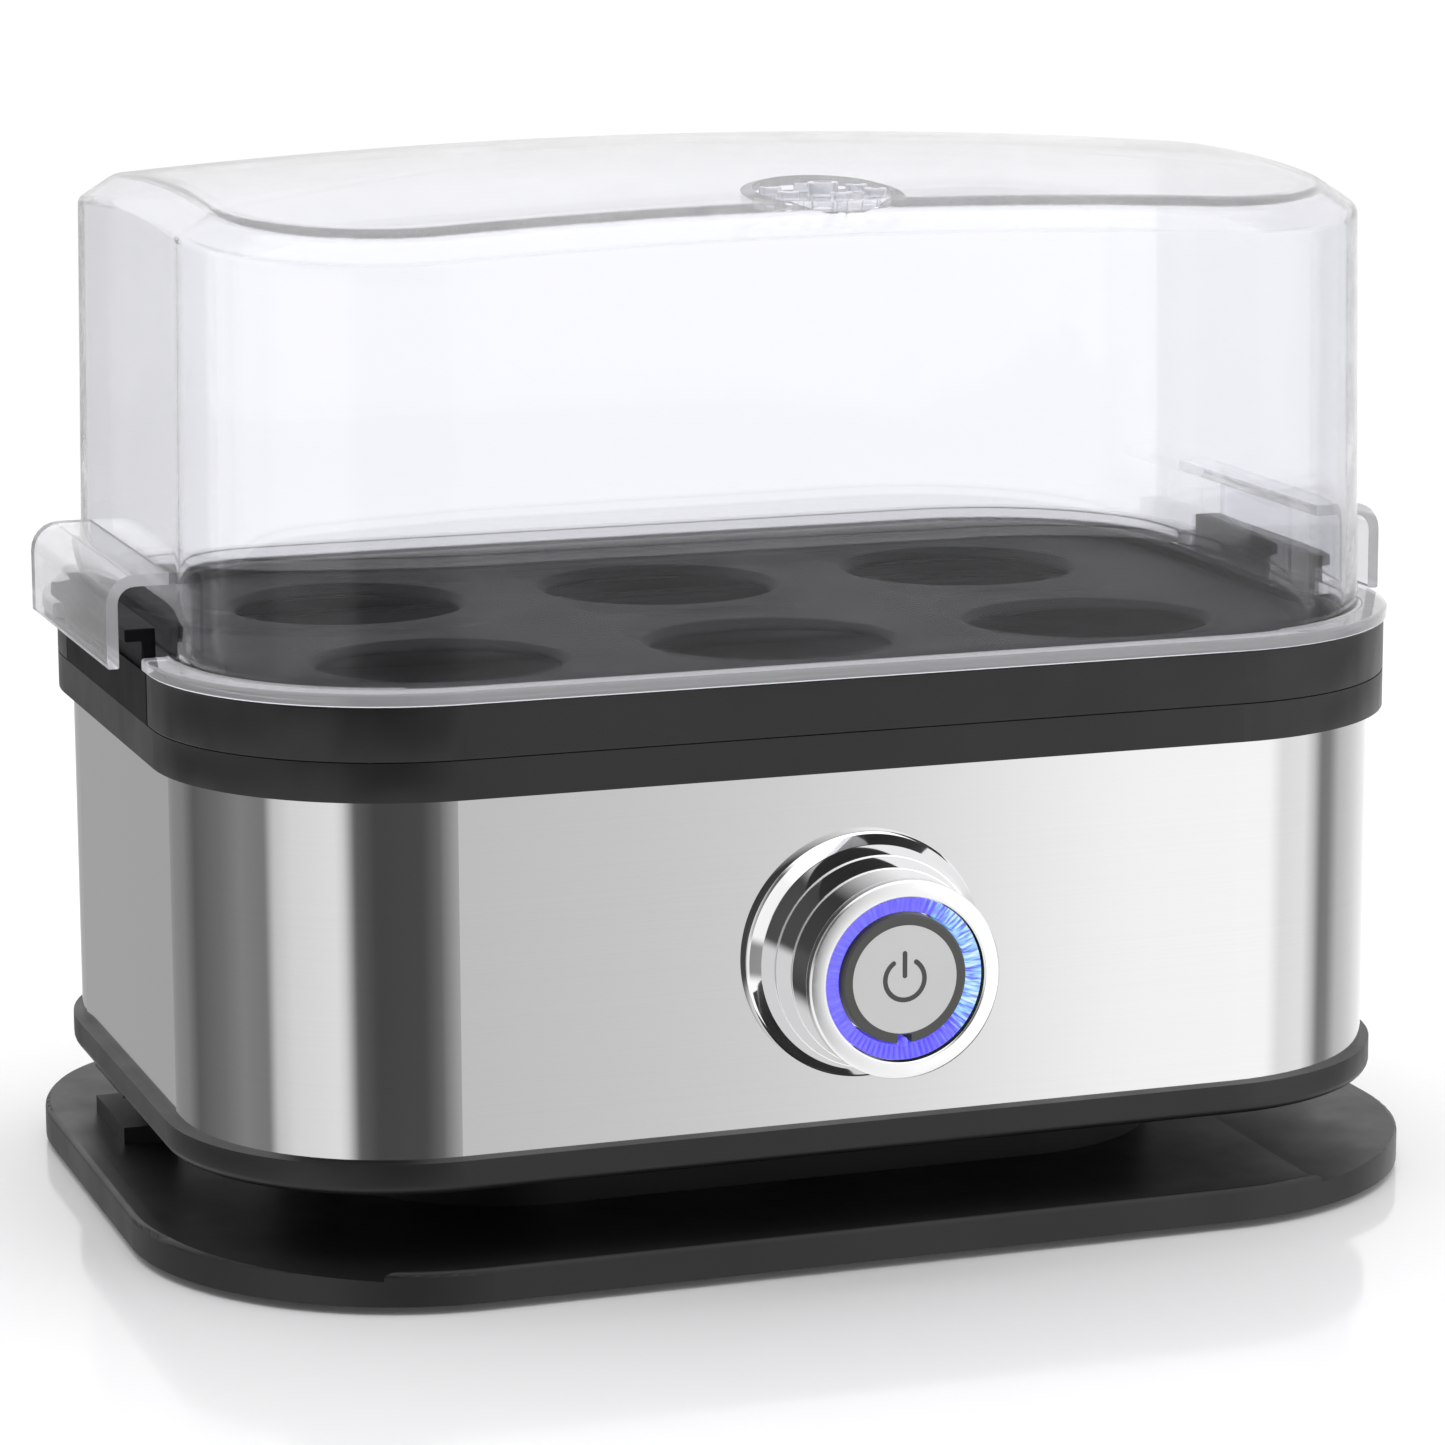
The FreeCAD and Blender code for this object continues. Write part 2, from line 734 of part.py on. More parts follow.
def make_heating_element():
    """A tube bent into a loop under the bowl, open at the back, where its two ends turn down."""
    body = new_body("heating_element")
    hx, hy, r = S["element_half_x"], S["element_half_y"], S["element_corner"]
    level = "bowl_z - bowl_sheet - element_radius"
    up = FreeCAD.Vector(0, 0, 1)
    path = new_sketch(body, lift=level)
    gap = S["element_pin_x"]
    runs = [
        ((gap, hy), (hx - r, hy)),
        ((hx, hy - r), (hx, r - hy)),
        ((hx - r, -hy), (r - hx, -hy)),
        ((-hx, r - hy), (-hx, hy - r)),
        ((r - hx, hy), (-gap, hy)),
    ]
    bends = [(hx - r, hy - r, 0), (hx - r, r - hy, 3), (r - hx, r - hy, 2), (r - hx, hy - r, 1)]
    for i in range(5):
        start, end = [FreeCAD.Vector(*spot, 0) for spot in runs[i]]
        path.addGeometry(Part.LineSegment(start, end), False)
        if i < 4:
            x, y, quarter = bends[i]
            circle = Part.Circle(FreeCAD.Vector(x, y, 0), up, r)
            angle = quarter * math.pi / 2
            path.addGeometry(Part.ArcOfCircle(circle, angle, angle + math.pi / 2), False)
    section = new_sketch(body, "YZ_Plane", "element_pin_x")
    draw_circle(section, "element_half_y", level, "element_radius")
    doc.recompute()
    tube = body.newObject("PartDesign::AdditivePipe", "element_tube")
    tube.Profile = section
    tube.Spine = path
    doc.recompute()
    pins = new_sketch(body, lift=level)
    for side in ("", "0 - "):
        draw_circle(pins, side + "(element_pin_x + 2 * pin_radius)", "element_half_y", "pin_radius")
    drop = pad(body, pins, "pin_drop")
    drop.Reversed = True
    doc.recompute()
    keep(body, "heating_element")


def make_thermostat():
    body = turned_piece(
        "thermostat",
        [
            ("0", "0"),
            ("thermostat_radius - 2", "0"),
            ("thermostat_radius - 2", "2"),
            ("thermostat_radius", "2"),
            ("thermostat_radius", "thermostat_high"),
            ("0", "thermostat_high"),
        ],
    )
    keep(body, "thermostat", z="bowl_z - bowl_sheet - thermostat_high")


def make_thermostat_strap():
    """A strap that holds the thermostat up against the bowl, its two feet turned up."""
    body = new_body("thermostat_strap")
    profile = new_sketch(body, "XZ_Plane")
    top = "bowl_z - bowl_sheet"
    low = top + " - thermostat_high - strap_thick"
    seat = top + " - thermostat_high"
    half = "strap_half_x"
    inner = "strap_half_x - strap_thick"
    draw_polygon(
        profile,
        [
            ("0 - " + half, low),
            (half, low),
            (half, top),
            (inner, top),
            (inner, seat),
            ("0 - (%s)" % inner, seat),
            ("0 - (%s)" % inner, top),
            ("0 - " + half, top),
        ],
    )
    pad(body, profile, "strap_wide", both_ways=True)
    keep(body, "thermostat_strap")


def make_thermal_fuse():
    fuse = doc.addObject("Part::Cylinder", "thermal_fuse_barrel")
    bind(fuse, "Radius", "fuse_radius")
    bind(fuse, "Height", "fuse_long")
    keep(fuse, "thermal_fuse", "centre_y - element_half_y / 2", "bowl_z - bowl_sheet - fuse_radius")
    bind(fuse, "Placement.Base.x", "0 - fuse_long / 2")
    fuse.Placement.Rotation = FreeCAD.Rotation(FreeCAD.Vector(0, 1, 0), 90)


def block(label, x, y, z, long_x, long_y, long_z):
    """A rectangular component, given by its lowest corner and its sides."""
    box = doc.addObject("Part::Box", label + "_block")
    for side, text in (("Length", long_x), ("Width", long_y), ("Height", long_z)):
        bind(box, side, text)
    edge = doc.addObject("Part::Chamfer", label + "_edges")
    edge.Base = box
    doc.recompute()
    tops = [n for n, e in enumerate(box.Shape.Edges, 1) if e.BoundBox.ZMin > amount(long_z) - 1e-3]
    edge.Edges = [(n, 0.4, 0.4) for n in tops]
    keep(edge, label, "centre_y + " + y, z)
    bind(edge, "Placement.Base.x", x)
    return edge


def make_electronics():
    board_back = "0 - board_face_y + board_thick"
    block(
        "control_board",
        "0 - board_half_x",
        "0 - board_face_y",
        "board_low",
        "2 * board_half_x",
        "board_thick",
        "board_high",
    )
    make_push_switch()
    low = "button_height - component_drop"
    block("relay", "relay_x", board_back, low, "relay_long", "relay_size", "relay_size")
    block(
        "terminal_block",
        "0 - terminal_long / 2",
        "terminal_y",
        "floor_z",
        "terminal_long",
        "terminal_deep",
        "terminal_high",
    )
    buzzer = doc.addObject("Part::Cylinder", "buzzer_can")
    bind(buzzer, "Radius", "buzzer_radius")
    bind(buzzer, "Height", "buzzer_high")
    keep(buzzer, "buzzer", "centre_y + " + board_back, low)
    bind(buzzer, "Placement.Base.x", "0 - buzzer_x")
    buzzer.Placement.Rotation = FreeCAD.Rotation(FreeCAD.Vector(1, 0, 0), -90)


def to_button(thing, label):
    """Place a piece drawn about +Z, with Z = 0 on the shell's face, on the button's axis."""
    keep(thing, label, "centre_y - shell_half_y", "button_height")
    thing.Placement.Rotation = FreeCAD.Rotation(FreeCAD.Vector(1, 0, 0), 90)
    return thing


def make_push_switch():
    body = new_body("push_switch")
    face = "shell_half_y - board_face_y"
    case = new_sketch(body, lift="0 - (%s)" % face)
    half = "switch_size / 2"
    draw_box(case, "0 - " + half, "0 - " + half, half, half)
    pad(body, case, "switch_deep")
    tip = new_sketch(body, lift="0 - (%s)" % face)
    draw_circle(tip, "0", "0", "stem_radius")
    pad(body, tip, "switch_tip")
    to_button(body, "push_switch")


# ---- button ----


def make_bezel():
    bezel = turned_piece(
        "button_bezel",
        [
            ("bezel_tail_radius", "0 - bezel_tail"),
            ("bezel_tail_radius", "0"),
            ("bezel_flange_radius", "0"),
            ("bezel_flange_radius", "bezel_flange_out"),
            ("bezel_flange_radius - flange_edge", "bezel_flange_out + flange_edge"),
            ("cone_one_radius", "cone_one_out"),
            ("cone_two_radius", "cone_two_out"),
            ("cone_two_radius - cone_step", "cone_two_out"),
            ("barrel_radius + cone_step", "barrel_foot"),
            ("barrel_radius", "barrel_foot"),
            ("barrel_radius", "barrel_out"),
            ("bezel_bore", "barrel_out"),
            ("bezel_bore", "led_seat_out"),
            ("light_inner + 0.8", "led_seat_out"),
            ("light_inner + 0.8", "web_out + web_thick"),
            ("stem_radius + 0.3", "web_out + web_thick"),
            ("stem_radius + 0.3", "web_out"),
            ("bezel_bore", "web_out"),
            ("bezel_bore", "0 - bezel_tail"),
        ],
    )
    to_button(bezel, "button_bezel")
    back = "0 - shell_sheet"
    nut = turned_piece(
        "bezel_nut",
        [
            ("bezel_tail_radius", back + " - nut_thick"),
            ("nut_radius", back + " - nut_thick"),
            ("nut_radius", back),
            ("bezel_tail_radius", back),
        ],
    )
    to_button(nut, "bezel_nut")
    ring = turned_piece(
        "button_ring",
        [
            ("bezel_bore", "barrel_out"),
            ("barrel_radius", "barrel_out"),
            ("barrel_radius", "button_out - ring_fall - 0.3"),
            ("barrel_radius - 0.3", "button_out - ring_fall"),
            ("bezel_bore + 0.2", "button_out"),
            ("bezel_bore", "button_out - 0.2"),
        ],
    )
    to_button(ring, "button_ring")


def make_light_ring():
    body = new_body("light_ring")
    revolve(
        body,
        [
            ("light_inner", "light_out - light_long"),
            ("light_radius", "light_out - light_long"),
            ("light_radius", "light_out - 0.3"),
            ("light_radius - 0.3", "light_out"),
            ("light_inner", "light_out"),
        ],
    )
    tab = new_sketch(body, lift="light_out - light_long")
    half = "tab_wide / 2"
    draw_box(tab, "0 - " + half, "0 - light_inner - 0.5", half, "0 - tab_reach")
    pad(body, tab, "light_long")
    to_button(body, "light_ring")
    board = turned_piece(
        "led_board",
        [
            ("light_inner", "led_seat_out"),
            ("light_radius", "led_seat_out"),
            ("light_radius", "led_seat_out + led_board_thick"),
            ("light_inner", "led_seat_out + led_board_thick"),
        ],
    )
    to_button(board, "led_board")


def make_button_cap():
    body = new_body("button_cap")
    back = "cap_out - cap_thick"
    stop = "web_out - free_gap"
    revolve(
        body,
        [
            ("0", "cap_out - disc_thick"),
            ("disc_radius", "cap_out - disc_thick"),
            ("disc_radius", "cap_out"),
            ("cap_radius - 0.3", "cap_out"),
            ("cap_radius", "cap_out - 0.3"),
            ("cap_radius", back),
            ("stem_radius", back),
            ("stem_radius", stop),
            ("stem_radius + collar_out", stop),
            ("stem_radius + collar_out", stop + " - collar_long"),
            ("stem_radius", stop + " - collar_long"),
            ("stem_radius", "0 - stem_inner"),
            ("0", "0 - stem_inner"),
        ],
    )
    keyway = new_sketch(body, lift="cap_out + 1")
    half = "(tab_wide / 2 + 0.3)"
    draw_box(keyway, "0 - " + half, "0 - cap_radius - 1", half, "0 - disc_radius - 0.15")
    pocket(body, keyway, "cap_thick + 2")
    to_button(body, "button_cap")


def symbol_disc(name, radius, x="0", y="0", sweep=360, turn=0):
    """A flat disc, or a sector of one, at the depth of the power symbol."""
    disc = doc.addObject("Part::Cylinder", name)
    bind(disc, "Radius", radius)
    bind(disc, "Height", "symbol_deep")
    disc.Angle = sweep
    bind(disc, "Placement.Base.x", x)
    bind(disc, "Placement.Base.y", y)
    bind(disc, "Placement.Base.z", "cap_out - symbol_deep")
    disc.Placement.Rotation = FreeCAD.Rotation(FreeCAD.Vector(0, 0, 1), turn)
    return disc


def stroke(name, middle, ends):
    """One stroke of the symbol with a half-round at each of its two ends."""
    pieces = [middle]
    for i, (x, y) in enumerate(ends):
        pieces.append(symbol_disc("%s_end_%d" % (name, i), "symbol_stroke / 2", x, y))
    fuse = doc.addObject("Part::MultiFuse", name)
    fuse.Shapes = pieces
    return fuse


def power_strokes():
    """A ring open at the top and an upright bar through the opening."""
    opening = S["symbol_gap"]
    sweep = 360 - 2 * opening
    sector = symbol_disc(
        "symbol_outer", "symbol_radius + symbol_stroke / 2", sweep=sweep, turn=90 + opening
    )
    hollow = symbol_disc("symbol_inner", "symbol_radius - symbol_stroke / 2")
    arc = doc.addObject("Part::Cut", "symbol_arc")
    arc.Base = sector
    arc.Tool = hollow
    end_x = "symbol_radius * %.6f" % math.sin(math.radians(opening))
    end_y = "symbol_radius * %.6f" % math.cos(math.radians(opening))
    bar = doc.addObject("Part::Box", "symbol_bar")
    bind(bar, "Length", "symbol_stroke")
    bind(bar, "Width", "symbol_bar")
    bind(bar, "Height", "symbol_deep")
    bind(bar, "Placement.Base.x", "0 - symbol_stroke / 2")
    bind(bar, "Placement.Base.y", "symbol_bar_low")
    bind(bar, "Placement.Base.z", "cap_out - symbol_deep")
    bar_ends = [("0", "symbol_bar_low"), ("0", "symbol_bar_low + symbol_bar")]
    return [
        stroke("symbol_ring", arc, [("0 - " + end_x, end_y), (end_x, end_y)]),
        stroke("symbol_upright", bar, bar_ends),
    ]


def make_button_face():
    """The face disc, with the power symbol inlaid flush."""
    strokes = power_strokes()
    symbol = doc.addObject("Part::Compound", "symbol_group")
    symbol.Links = strokes
    disc = doc.addObject("Part::Cylinder", "face_disc")
    bind(disc, "Radius", "disc_radius")
    bind(disc, "Height", "disc_thick")
    bind(disc, "Placement.Base.z", "cap_out - disc_thick")
    face = doc.addObject("Part::Cut", "face_cut")
    face.Base = disc
    face.Tool = symbol
    doc.recompute()
    to_button(face, "button_face")
    inlay = doc.addObject("Part::Compound", "symbol_inlay")
    inlay.Links = strokes
    doc.recompute()
    to_button(inlay, "power_symbol")


def make_return_spring():
    body = new_body("return_spring")
    section = new_sketch(body, "XZ_Plane")
    draw_circle(section, "spring_radius", "web_out + web_thick + spring_wire", "spring_wire")
    coil = body.newObject("PartDesign::AdditiveHelix", "spring_coil")
    coil.Profile = section
    coil.ReferenceAxis = (origin_item(body, "Z_Axis"), [""])
    coil.Mode = "height-turns-angle"
    bind(coil, "Height", "cap_out - cap_thick - web_out - web_thick - 2 * spring_wire")
    bind(coil, "Turns", "spring_turns")
    doc.recompute()
    to_button(body, "return_spring")


# ---- egg tray ----


def make_egg_tray():
    body = new_body("egg_tray")
    plate_z = "collar_z + tray_top - tray_thick"
    plate = new_sketch(body, lift=plate_z)
    draw_rounded(plate, *TRAY)
    pad(body, plate, "tray_thick")
    ring_pad(body, plate_z, "tray_thick + tray_rim_up", TRAY, inset(TRAY, "tray_rim"))
    bridge = "tray_thick + 1.2"
    side_pads(body, plate_z, bridge, "tray_half_x - 1", "grip_half_y", "grip_in + 0.5")
    side_pads(body, "collar_z", "collar_height - 0.3", "grip_in", "grip_half_y", "ring_half_x")
    stand_z = "seat_z - 0.5"
    stand_high = "collar_z + grip_top - (%s)" % stand_z
    outer = "grip_stand_x + grip_stand"
    side_pads(body, stand_z, stand_high, "grip_stand_x", "grip_stand_y", outer)
    hook_z = "collar_z + grip_top - grip_wall"
    hook = outer + " + grip_hook"
    side_pads(body, hook_z, "grip_wall", "grip_stand_x", "grip_stand_y", hook)
    holes = new_sketch(body, lift="collar_z + tray_top")
    for column in ("0 - egg_pitch", "0", "egg_pitch"):
        for row in ("0 - egg_row_y", "egg_row_y"):
            draw_circle(holes, column, row, "egg_hole")
    cut = pocket(body, holes, "tray_thick")
    top = S["collar_z"] + S["tray_top"]

    def hole_edge(edge):
        round_one = hasattr(edge.Curve, "Radius") and abs(edge.Curve.Radius - S["egg_hole"]) < 1e-3
        return round_one and level_edges(top)(edge)

    bevel = body.newObject("PartDesign::Chamfer", "egg_bevel")
    bevel.Base = (cut, edges_where(cut.Shape, hole_edge))
    bind(bevel, "Size", "egg_bevel")
    doc.recompute()
    keep(body, "egg_tray")


# ---- lid ----


def wall_distance(edge):
    """How far inside the lid's outline the middle of an edge is, seen from above."""
    spot = edge.valueAt((edge.FirstParameter + edge.LastParameter) / 2)
    across = abs(spot.x) - S["lid_half_x"] + S["lid_corner"]
    along = abs(spot.y) - S["lid_half_y"] + S["lid_corner"]
    outside = math.hypot(max(across, 0), max(along, 0))
    return S["lid_corner"] - outside - min(max(across, along), 0)


def dome(body, inward, side, down):
    """The lid's drafted walls under a pillowed top, with a bevel between: all drawn in by a
    distance, so that the same steps make its outside and its inside."""
    outline = new_sketch(body, lift="seat_z")
    draw_rounded(outline, *inset(LID, inward))
    pad(body, outline, "lid_top + 3", taper="lid_draft")
    crown = new_sketch(body, "YZ_Plane")
    bind(crown, "AttachmentOffset.Base.y", "seat_z + lid_top - crown_long")
    middle = S["crown_long"] - S["crown_across"]
    ball = S["crown_across"] - amount(inward)
    reach = S["crown_half"]
    edge_z = middle + math.sqrt(ball * ball - reach * reach)
    over = S["crown_long"] + 20
    angle = math.asin(reach / ball)
    circle = Part.Circle(FreeCAD.Vector(0, middle, 0), FreeCAD.Vector(0, 0, 1), ball)
    arc = Part.ArcOfCircle(circle, math.pi / 2 - angle, math.pi / 2 + angle)
    crown.addGeometry(arc, False)
    corners = [(-reach, edge_z), (-reach, over), (reach, over), (reach, edge_z)]
    spots = [FreeCAD.Vector(x, y, 0) for x, y in corners]
    for i in range(3):
        crown.addGeometry(Part.LineSegment(spots[i], spots[i + 1]), False)
    cut = body.newObject("PartDesign::Groove", body.Name + "_crown")
    cut.Profile = crown
    cut.ReferenceAxis = (crown, ["H_Axis"])
    cut.Angle = 20
    cut.Midplane = True
    doc.recompute()
    lowest = S["seat_z"] + S["lid_top"] - 14
    middle_inset = amount(inward) + amount(side) / 2 + 1

    def rim_edge(edge):
        return edge.BoundBox.ZMin > lowest and edge.BoundBox.ZLength < S["bevel_down"]

    def lower_edge(edge):
        return rim_edge(edge) and wall_distance(edge) < middle_inset

    def upper_edge(edge):
        return rim_edge(edge) and middle_inset < wall_distance(edge) < S["lid_half_y"] / 2

    bevel = body.newObject("PartDesign::Chamfer", body.Name + "_bevel")
    bevel.Base = (cut, edges_where(cut.Shape, lower_edge))
    bevel.ChamferType = "Two distances"
    bind(bevel, "Size", down)
    bind(bevel, "Size2", side)
    doc.recompute()
    crisp = round_edges(body, bevel, lower_edge, "bevel_crisp")
    return round_edges(body, crisp, upper_edge, "bevel_soft")


def draw_arch(sketch, x_low, x_high, z_low, z_high, corner):
    """Both sides' ear profile, upright, with its upper outer corner rounded."""
    low_x, high_x, low_z, high_z, r = [amount(t) for t in (x_low, x_high, z_low, z_high, corner)]
    slant = r / math.sqrt(2)
    for side in (1, -1):
        spots = [
            (low_x, high_z),
            (low_x, low_z),
            (high_x, low_z),
            (high_x, high_z - r),
            (high_x - r + slant, high_z - r + slant),
            (high_x - r, high_z),
        ]
        points = [FreeCAD.Vector(side * x, z, 0) for x, z in spots]
        first = sketch.GeometryCount
        for start in range(3):
            sketch.addGeometry(Part.LineSegment(points[start], points[start + 1]), False)
        sketch.addGeometry(Part.Arc(*points[3:6]), False)
        sketch.addGeometry(Part.LineSegment(points[5], points[0]), False)
        sketch.addConstraint(Sketcher.Constraint("Vertical", first))
        sketch.addConstraint(Sketcher.Constraint("Horizontal", first + 1))
        sketch.addConstraint(Sketcher.Constraint("Vertical", first + 2))
        sketch.addConstraint(Sketcher.Constraint("Horizontal", first + 4))


def make_lid():
    outside = new_body("lid_outside")
    dome(outside, "0", "bevel_side", "bevel_down")
    ears = new_sketch(outside, "XZ_Plane")
    top = "seat_z + ear_top"
    draw_arch(ears, "lid_half_x - 0.9", "ear_out", "seat_z + 0.5", top, "ear_round")
    pad(outside, ears, "2 * ear_half_y", both_ways=True)
    rim = tuple(size + " + flange_over" for size in RING)
    ring_pad(outside, "seat_z", "flange_thick", rim, inset(LID, "lid_wall / 2"))
    hollow = new_sketch(outside, "XZ_Plane")
    outer_side = "ear_out - ear_wall"
    roof = top + " - ear_wall"
    inner_round = "ear_round - ear_wall"
    draw_arch(hollow, "lid_half_x + 0.2", outer_side, "seat_z - 1", roof, inner_round)
    pocket(outside, hollow, "2 * ear_half_y + 1", both_ways=True)
    vent(outside)
    inside = new_body("lid_inside")
    dome(inside, "lid_wall", "inner_bevel_side", "inner_bevel_down")
    cup = new_sketch(inside, lift="seat_z + vent_seat - vent_floor")
    draw_circle(cup, "0", "0 - vent_y", "vent_radius + lid_wall")
    pocket(inside, cup, "lid_top", downward=False)
    lid = doc.addObject("Part::Cut", "lid_shell")
    lid.Base = outside
    lid.Tool = inside
    doc.recompute()
    keep(lid, "lid")


def vent(body):
    """A level round seat let into the top near its front, with a ring of short steam tubes on it."""
    seat = "seat_z + vent_seat"
    low = seat + " - vent_floor"
    boss = new_sketch(body, lift=low)
    draw_circle(boss, "0", "0 - vent_y", "vent_radius")
    pad(body, boss, "vent_floor")
    recess = new_sketch(body, lift=seat)
    draw_circle(recess, "0", "0 - vent_y", "vent_radius")
    pocket(body, recess, "lid_top", downward=False)
    spots = [("0", "0 - vent_y", "vent_tube", "vent_up + 0.8")]
    tubes = 6
    for i in range(tubes):
        angle = math.radians(360 / tubes * i + 30)
        x = "vent_ring * %.4f" % math.cos(angle)
        y = "vent_ring * %.4f - vent_y" % math.sin(angle)
        spots.append((x, y, "vent_small", "vent_up"))
    for x, y, radius, rise in spots:
        tube = new_sketch(body, lift=low)
        draw_circle(tube, x, y, radius)
        pad(body, tube, "vent_floor + " + rise)
    holes = new_sketch(body, lift="seat_z + lid_top + 5")
    for x, y, radius, rise in spots:
        draw_circle(holes, x, y, radius + " - vent_hole")
    pocket(body, holes, "14")


make_base_plate()
make_base_fixings()
make_cord_gland()
make_housing_floor()
make_steel_shell()
make_top_frame()
make_rim_collar()
make_heating_bowl()
make_bowl_gasket()
make_heating_element()
make_thermostat()
make_thermostat_strap()
make_thermal_fuse()
make_electronics()
make_bezel()
make_light_ring()
make_button_cap()
make_button_face()
make_return_spring()
make_egg_tray()
make_lid()

doc.recompute()
for thing in doc.Objects:
    if "Invalid" in thing.State or "Error" in thing.State:
        raise RuntimeError("%s failed: %s" % (thing.Label, thing.State))
os.makedirs("parts", exist_ok=True)
for thing in sub_parts:
    if thing.Shape.isNull() or not thing.Shape.isValid():
        raise RuntimeError("%s has no valid shape" % thing.Label)
    thing.Shape.exportStep("parts/%s.step" % thing.Label)
    print(thing.Label, len(thing.Shape.Solids), round(thing.Shape.Volume))
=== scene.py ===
"""Looks for the egg cooker: materials, finer pieces, floor, studio and camera round the CAD."""

import math
from functools import partial

import bmesh
import bpy
from mathutils import Matrix, Vector


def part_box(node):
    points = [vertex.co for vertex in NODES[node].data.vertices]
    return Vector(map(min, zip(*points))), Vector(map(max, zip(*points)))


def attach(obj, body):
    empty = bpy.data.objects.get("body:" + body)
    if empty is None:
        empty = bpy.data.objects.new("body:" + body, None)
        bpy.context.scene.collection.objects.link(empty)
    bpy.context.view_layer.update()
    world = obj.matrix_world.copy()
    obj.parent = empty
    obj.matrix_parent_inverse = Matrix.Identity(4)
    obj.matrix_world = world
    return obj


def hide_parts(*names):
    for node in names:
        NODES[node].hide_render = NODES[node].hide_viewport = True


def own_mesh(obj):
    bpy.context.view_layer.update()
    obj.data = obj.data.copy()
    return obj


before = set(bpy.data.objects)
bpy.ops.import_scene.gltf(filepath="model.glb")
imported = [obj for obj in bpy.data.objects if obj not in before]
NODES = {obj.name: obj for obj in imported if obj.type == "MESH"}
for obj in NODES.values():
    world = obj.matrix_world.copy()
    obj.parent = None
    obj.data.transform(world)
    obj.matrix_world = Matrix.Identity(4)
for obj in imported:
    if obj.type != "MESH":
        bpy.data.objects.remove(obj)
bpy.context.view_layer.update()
MM = 0.001

# Where the object's middle plane and the button are, from the CAD boxes.
SHELL_LOW, SHELL_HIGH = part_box("steel_shell")
MIDDLE_Y = (SHELL_LOW.y + SHELL_HIGH.y) / 2
FACE_Y = SHELL_LOW.y
CAP_LOW, CAP_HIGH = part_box("button_face")
BUTTON_Z = (CAP_LOW.z + CAP_HIGH.z) / 2


# ---------------------------------------------------------------- material helpers
def calculate(tree, operation, *values):
    """A Math node on numbers and other nodes' outputs."""
    node = tree.nodes.new("ShaderNodeMath")
    node.operation = operation
    for socket, value in zip(node.inputs, values):
        if isinstance(value, (int, float)):
            socket.default_value = value
        else:
            tree.links.new(value, socket)
    return node.outputs["Value"]


class Finish:
    """A Principled material, built up in layers. Coordinates are the object's own, in metres."""

    def __init__(self, name, color, roughness, metallic=0.0, **constants):
        self.material = bpy.data.materials.new(name)
        self.material.use_nodes = True
        self.tree = self.material.node_tree
        self.nodes, self.links = self.tree.nodes, self.tree.links
        self.shader = next(n for n in self.nodes if n.type == "BSDF_PRINCIPLED")
        self.shader.inputs["Base Color"].default_value = (*color, 1.0)
        self.shader.inputs["Roughness"].default_value = roughness
        self.shader.inputs["Metallic"].default_value = metallic
        for socket, value in constants.items():
            self.shader.inputs[socket.replace("_", " ")].default_value = value
        self.normal = None

    def add(self, kind, **settings):
        node = self.nodes.new(kind)
        for key, value in settings.items():
            setattr(node, key, value)
        return node

    def place(self, stretch=(1, 1, 1)):
        """Object coordinates, scaled by stretch."""
        source = self.add("ShaderNodeTexCoord")
        mapping = self.add("ShaderNodeMapping")
        mapping.inputs["Scale"].default_value = stretch
        self.links.new(source.outputs["Object"], mapping.inputs["Vector"])
        return mapping.outputs["Vector"]

    def noise(self, scale, detail=2.0, stretch=(1, 1, 1), roughness=0.5):
        node = self.add("ShaderNodeTexNoise")
        node.inputs["Scale"].default_value = scale
        node.inputs["Detail"].default_value = detail
        node.inputs["Roughness"].default_value = roughness
        self.links.new(self.place(stretch), node.inputs["Vector"])
        return node.outputs["Fac"]

    def spread(self, value, low, high, start=0.3, end=0.7):
        """value from start to end, mapped to low to high."""
        node = self.add("ShaderNodeMapRange")
        node.inputs["From Min"].default_value = start
        node.inputs["From Max"].default_value = end
        node.inputs["To Min"].default_value = low
        node.inputs["To Max"].default_value = high
        self.links.new(value, node.inputs["Value"])
        return node.outputs["Result"]

    def tint(self, value, low, high, start=0.3, end=0.7):
        """A colour between low and high that follows value."""
        node = self.add("ShaderNodeValToRGB")
        first, last = node.color_ramp.elements
        first.position, last.position = start, end
        first.color, last.color = (*low, 1.0), (*high, 1.0)
        self.links.new(value, node.inputs["Fac"])
        return node.outputs["Color"]

    def color(self, value, low, high, start=0.3, end=0.7):
        self.links.new(self.tint(value, low, high, start, end), self.shader.inputs["Base Color"])
        return self

    def gloss(self, value, low, high, start=0.3, end=0.7):
        self.links.new(self.spread(value, low, high, start, end), self.shader.inputs["Roughness"])
        return self

    def bump(self, value, depth, strength=1.0):
        """Surface relief of that depth in metres, on top of what is there."""
        node = self.add("ShaderNodeBump")
        node.inputs["Strength"].default_value = strength
        node.inputs["Distance"].default_value = depth
        self.links.new(value, node.inputs["Height"])
        if self.normal:
            self.links.new(self.normal, node.inputs["Normal"])
        self.normal = node.outputs["Normal"]
        self.links.new(self.normal, self.shader.inputs["Normal"])
        return self


def moulded(name, low, high, rough, grain=2600.0, relief=0.00003):
    """Moulded plastic or rubber: a fine grain, faint flow marks and uneven gloss."""
    finish = Finish(name, high, rough)
    finish.color(finish.noise(28.0, 3.0), low, high)
    finish.gloss(finish.noise(90.0, 4.0), rough - 0.05, rough + 0.06)
    finish.bump(finish.noise(grain, 2.0), relief, 0.35)
    return finish


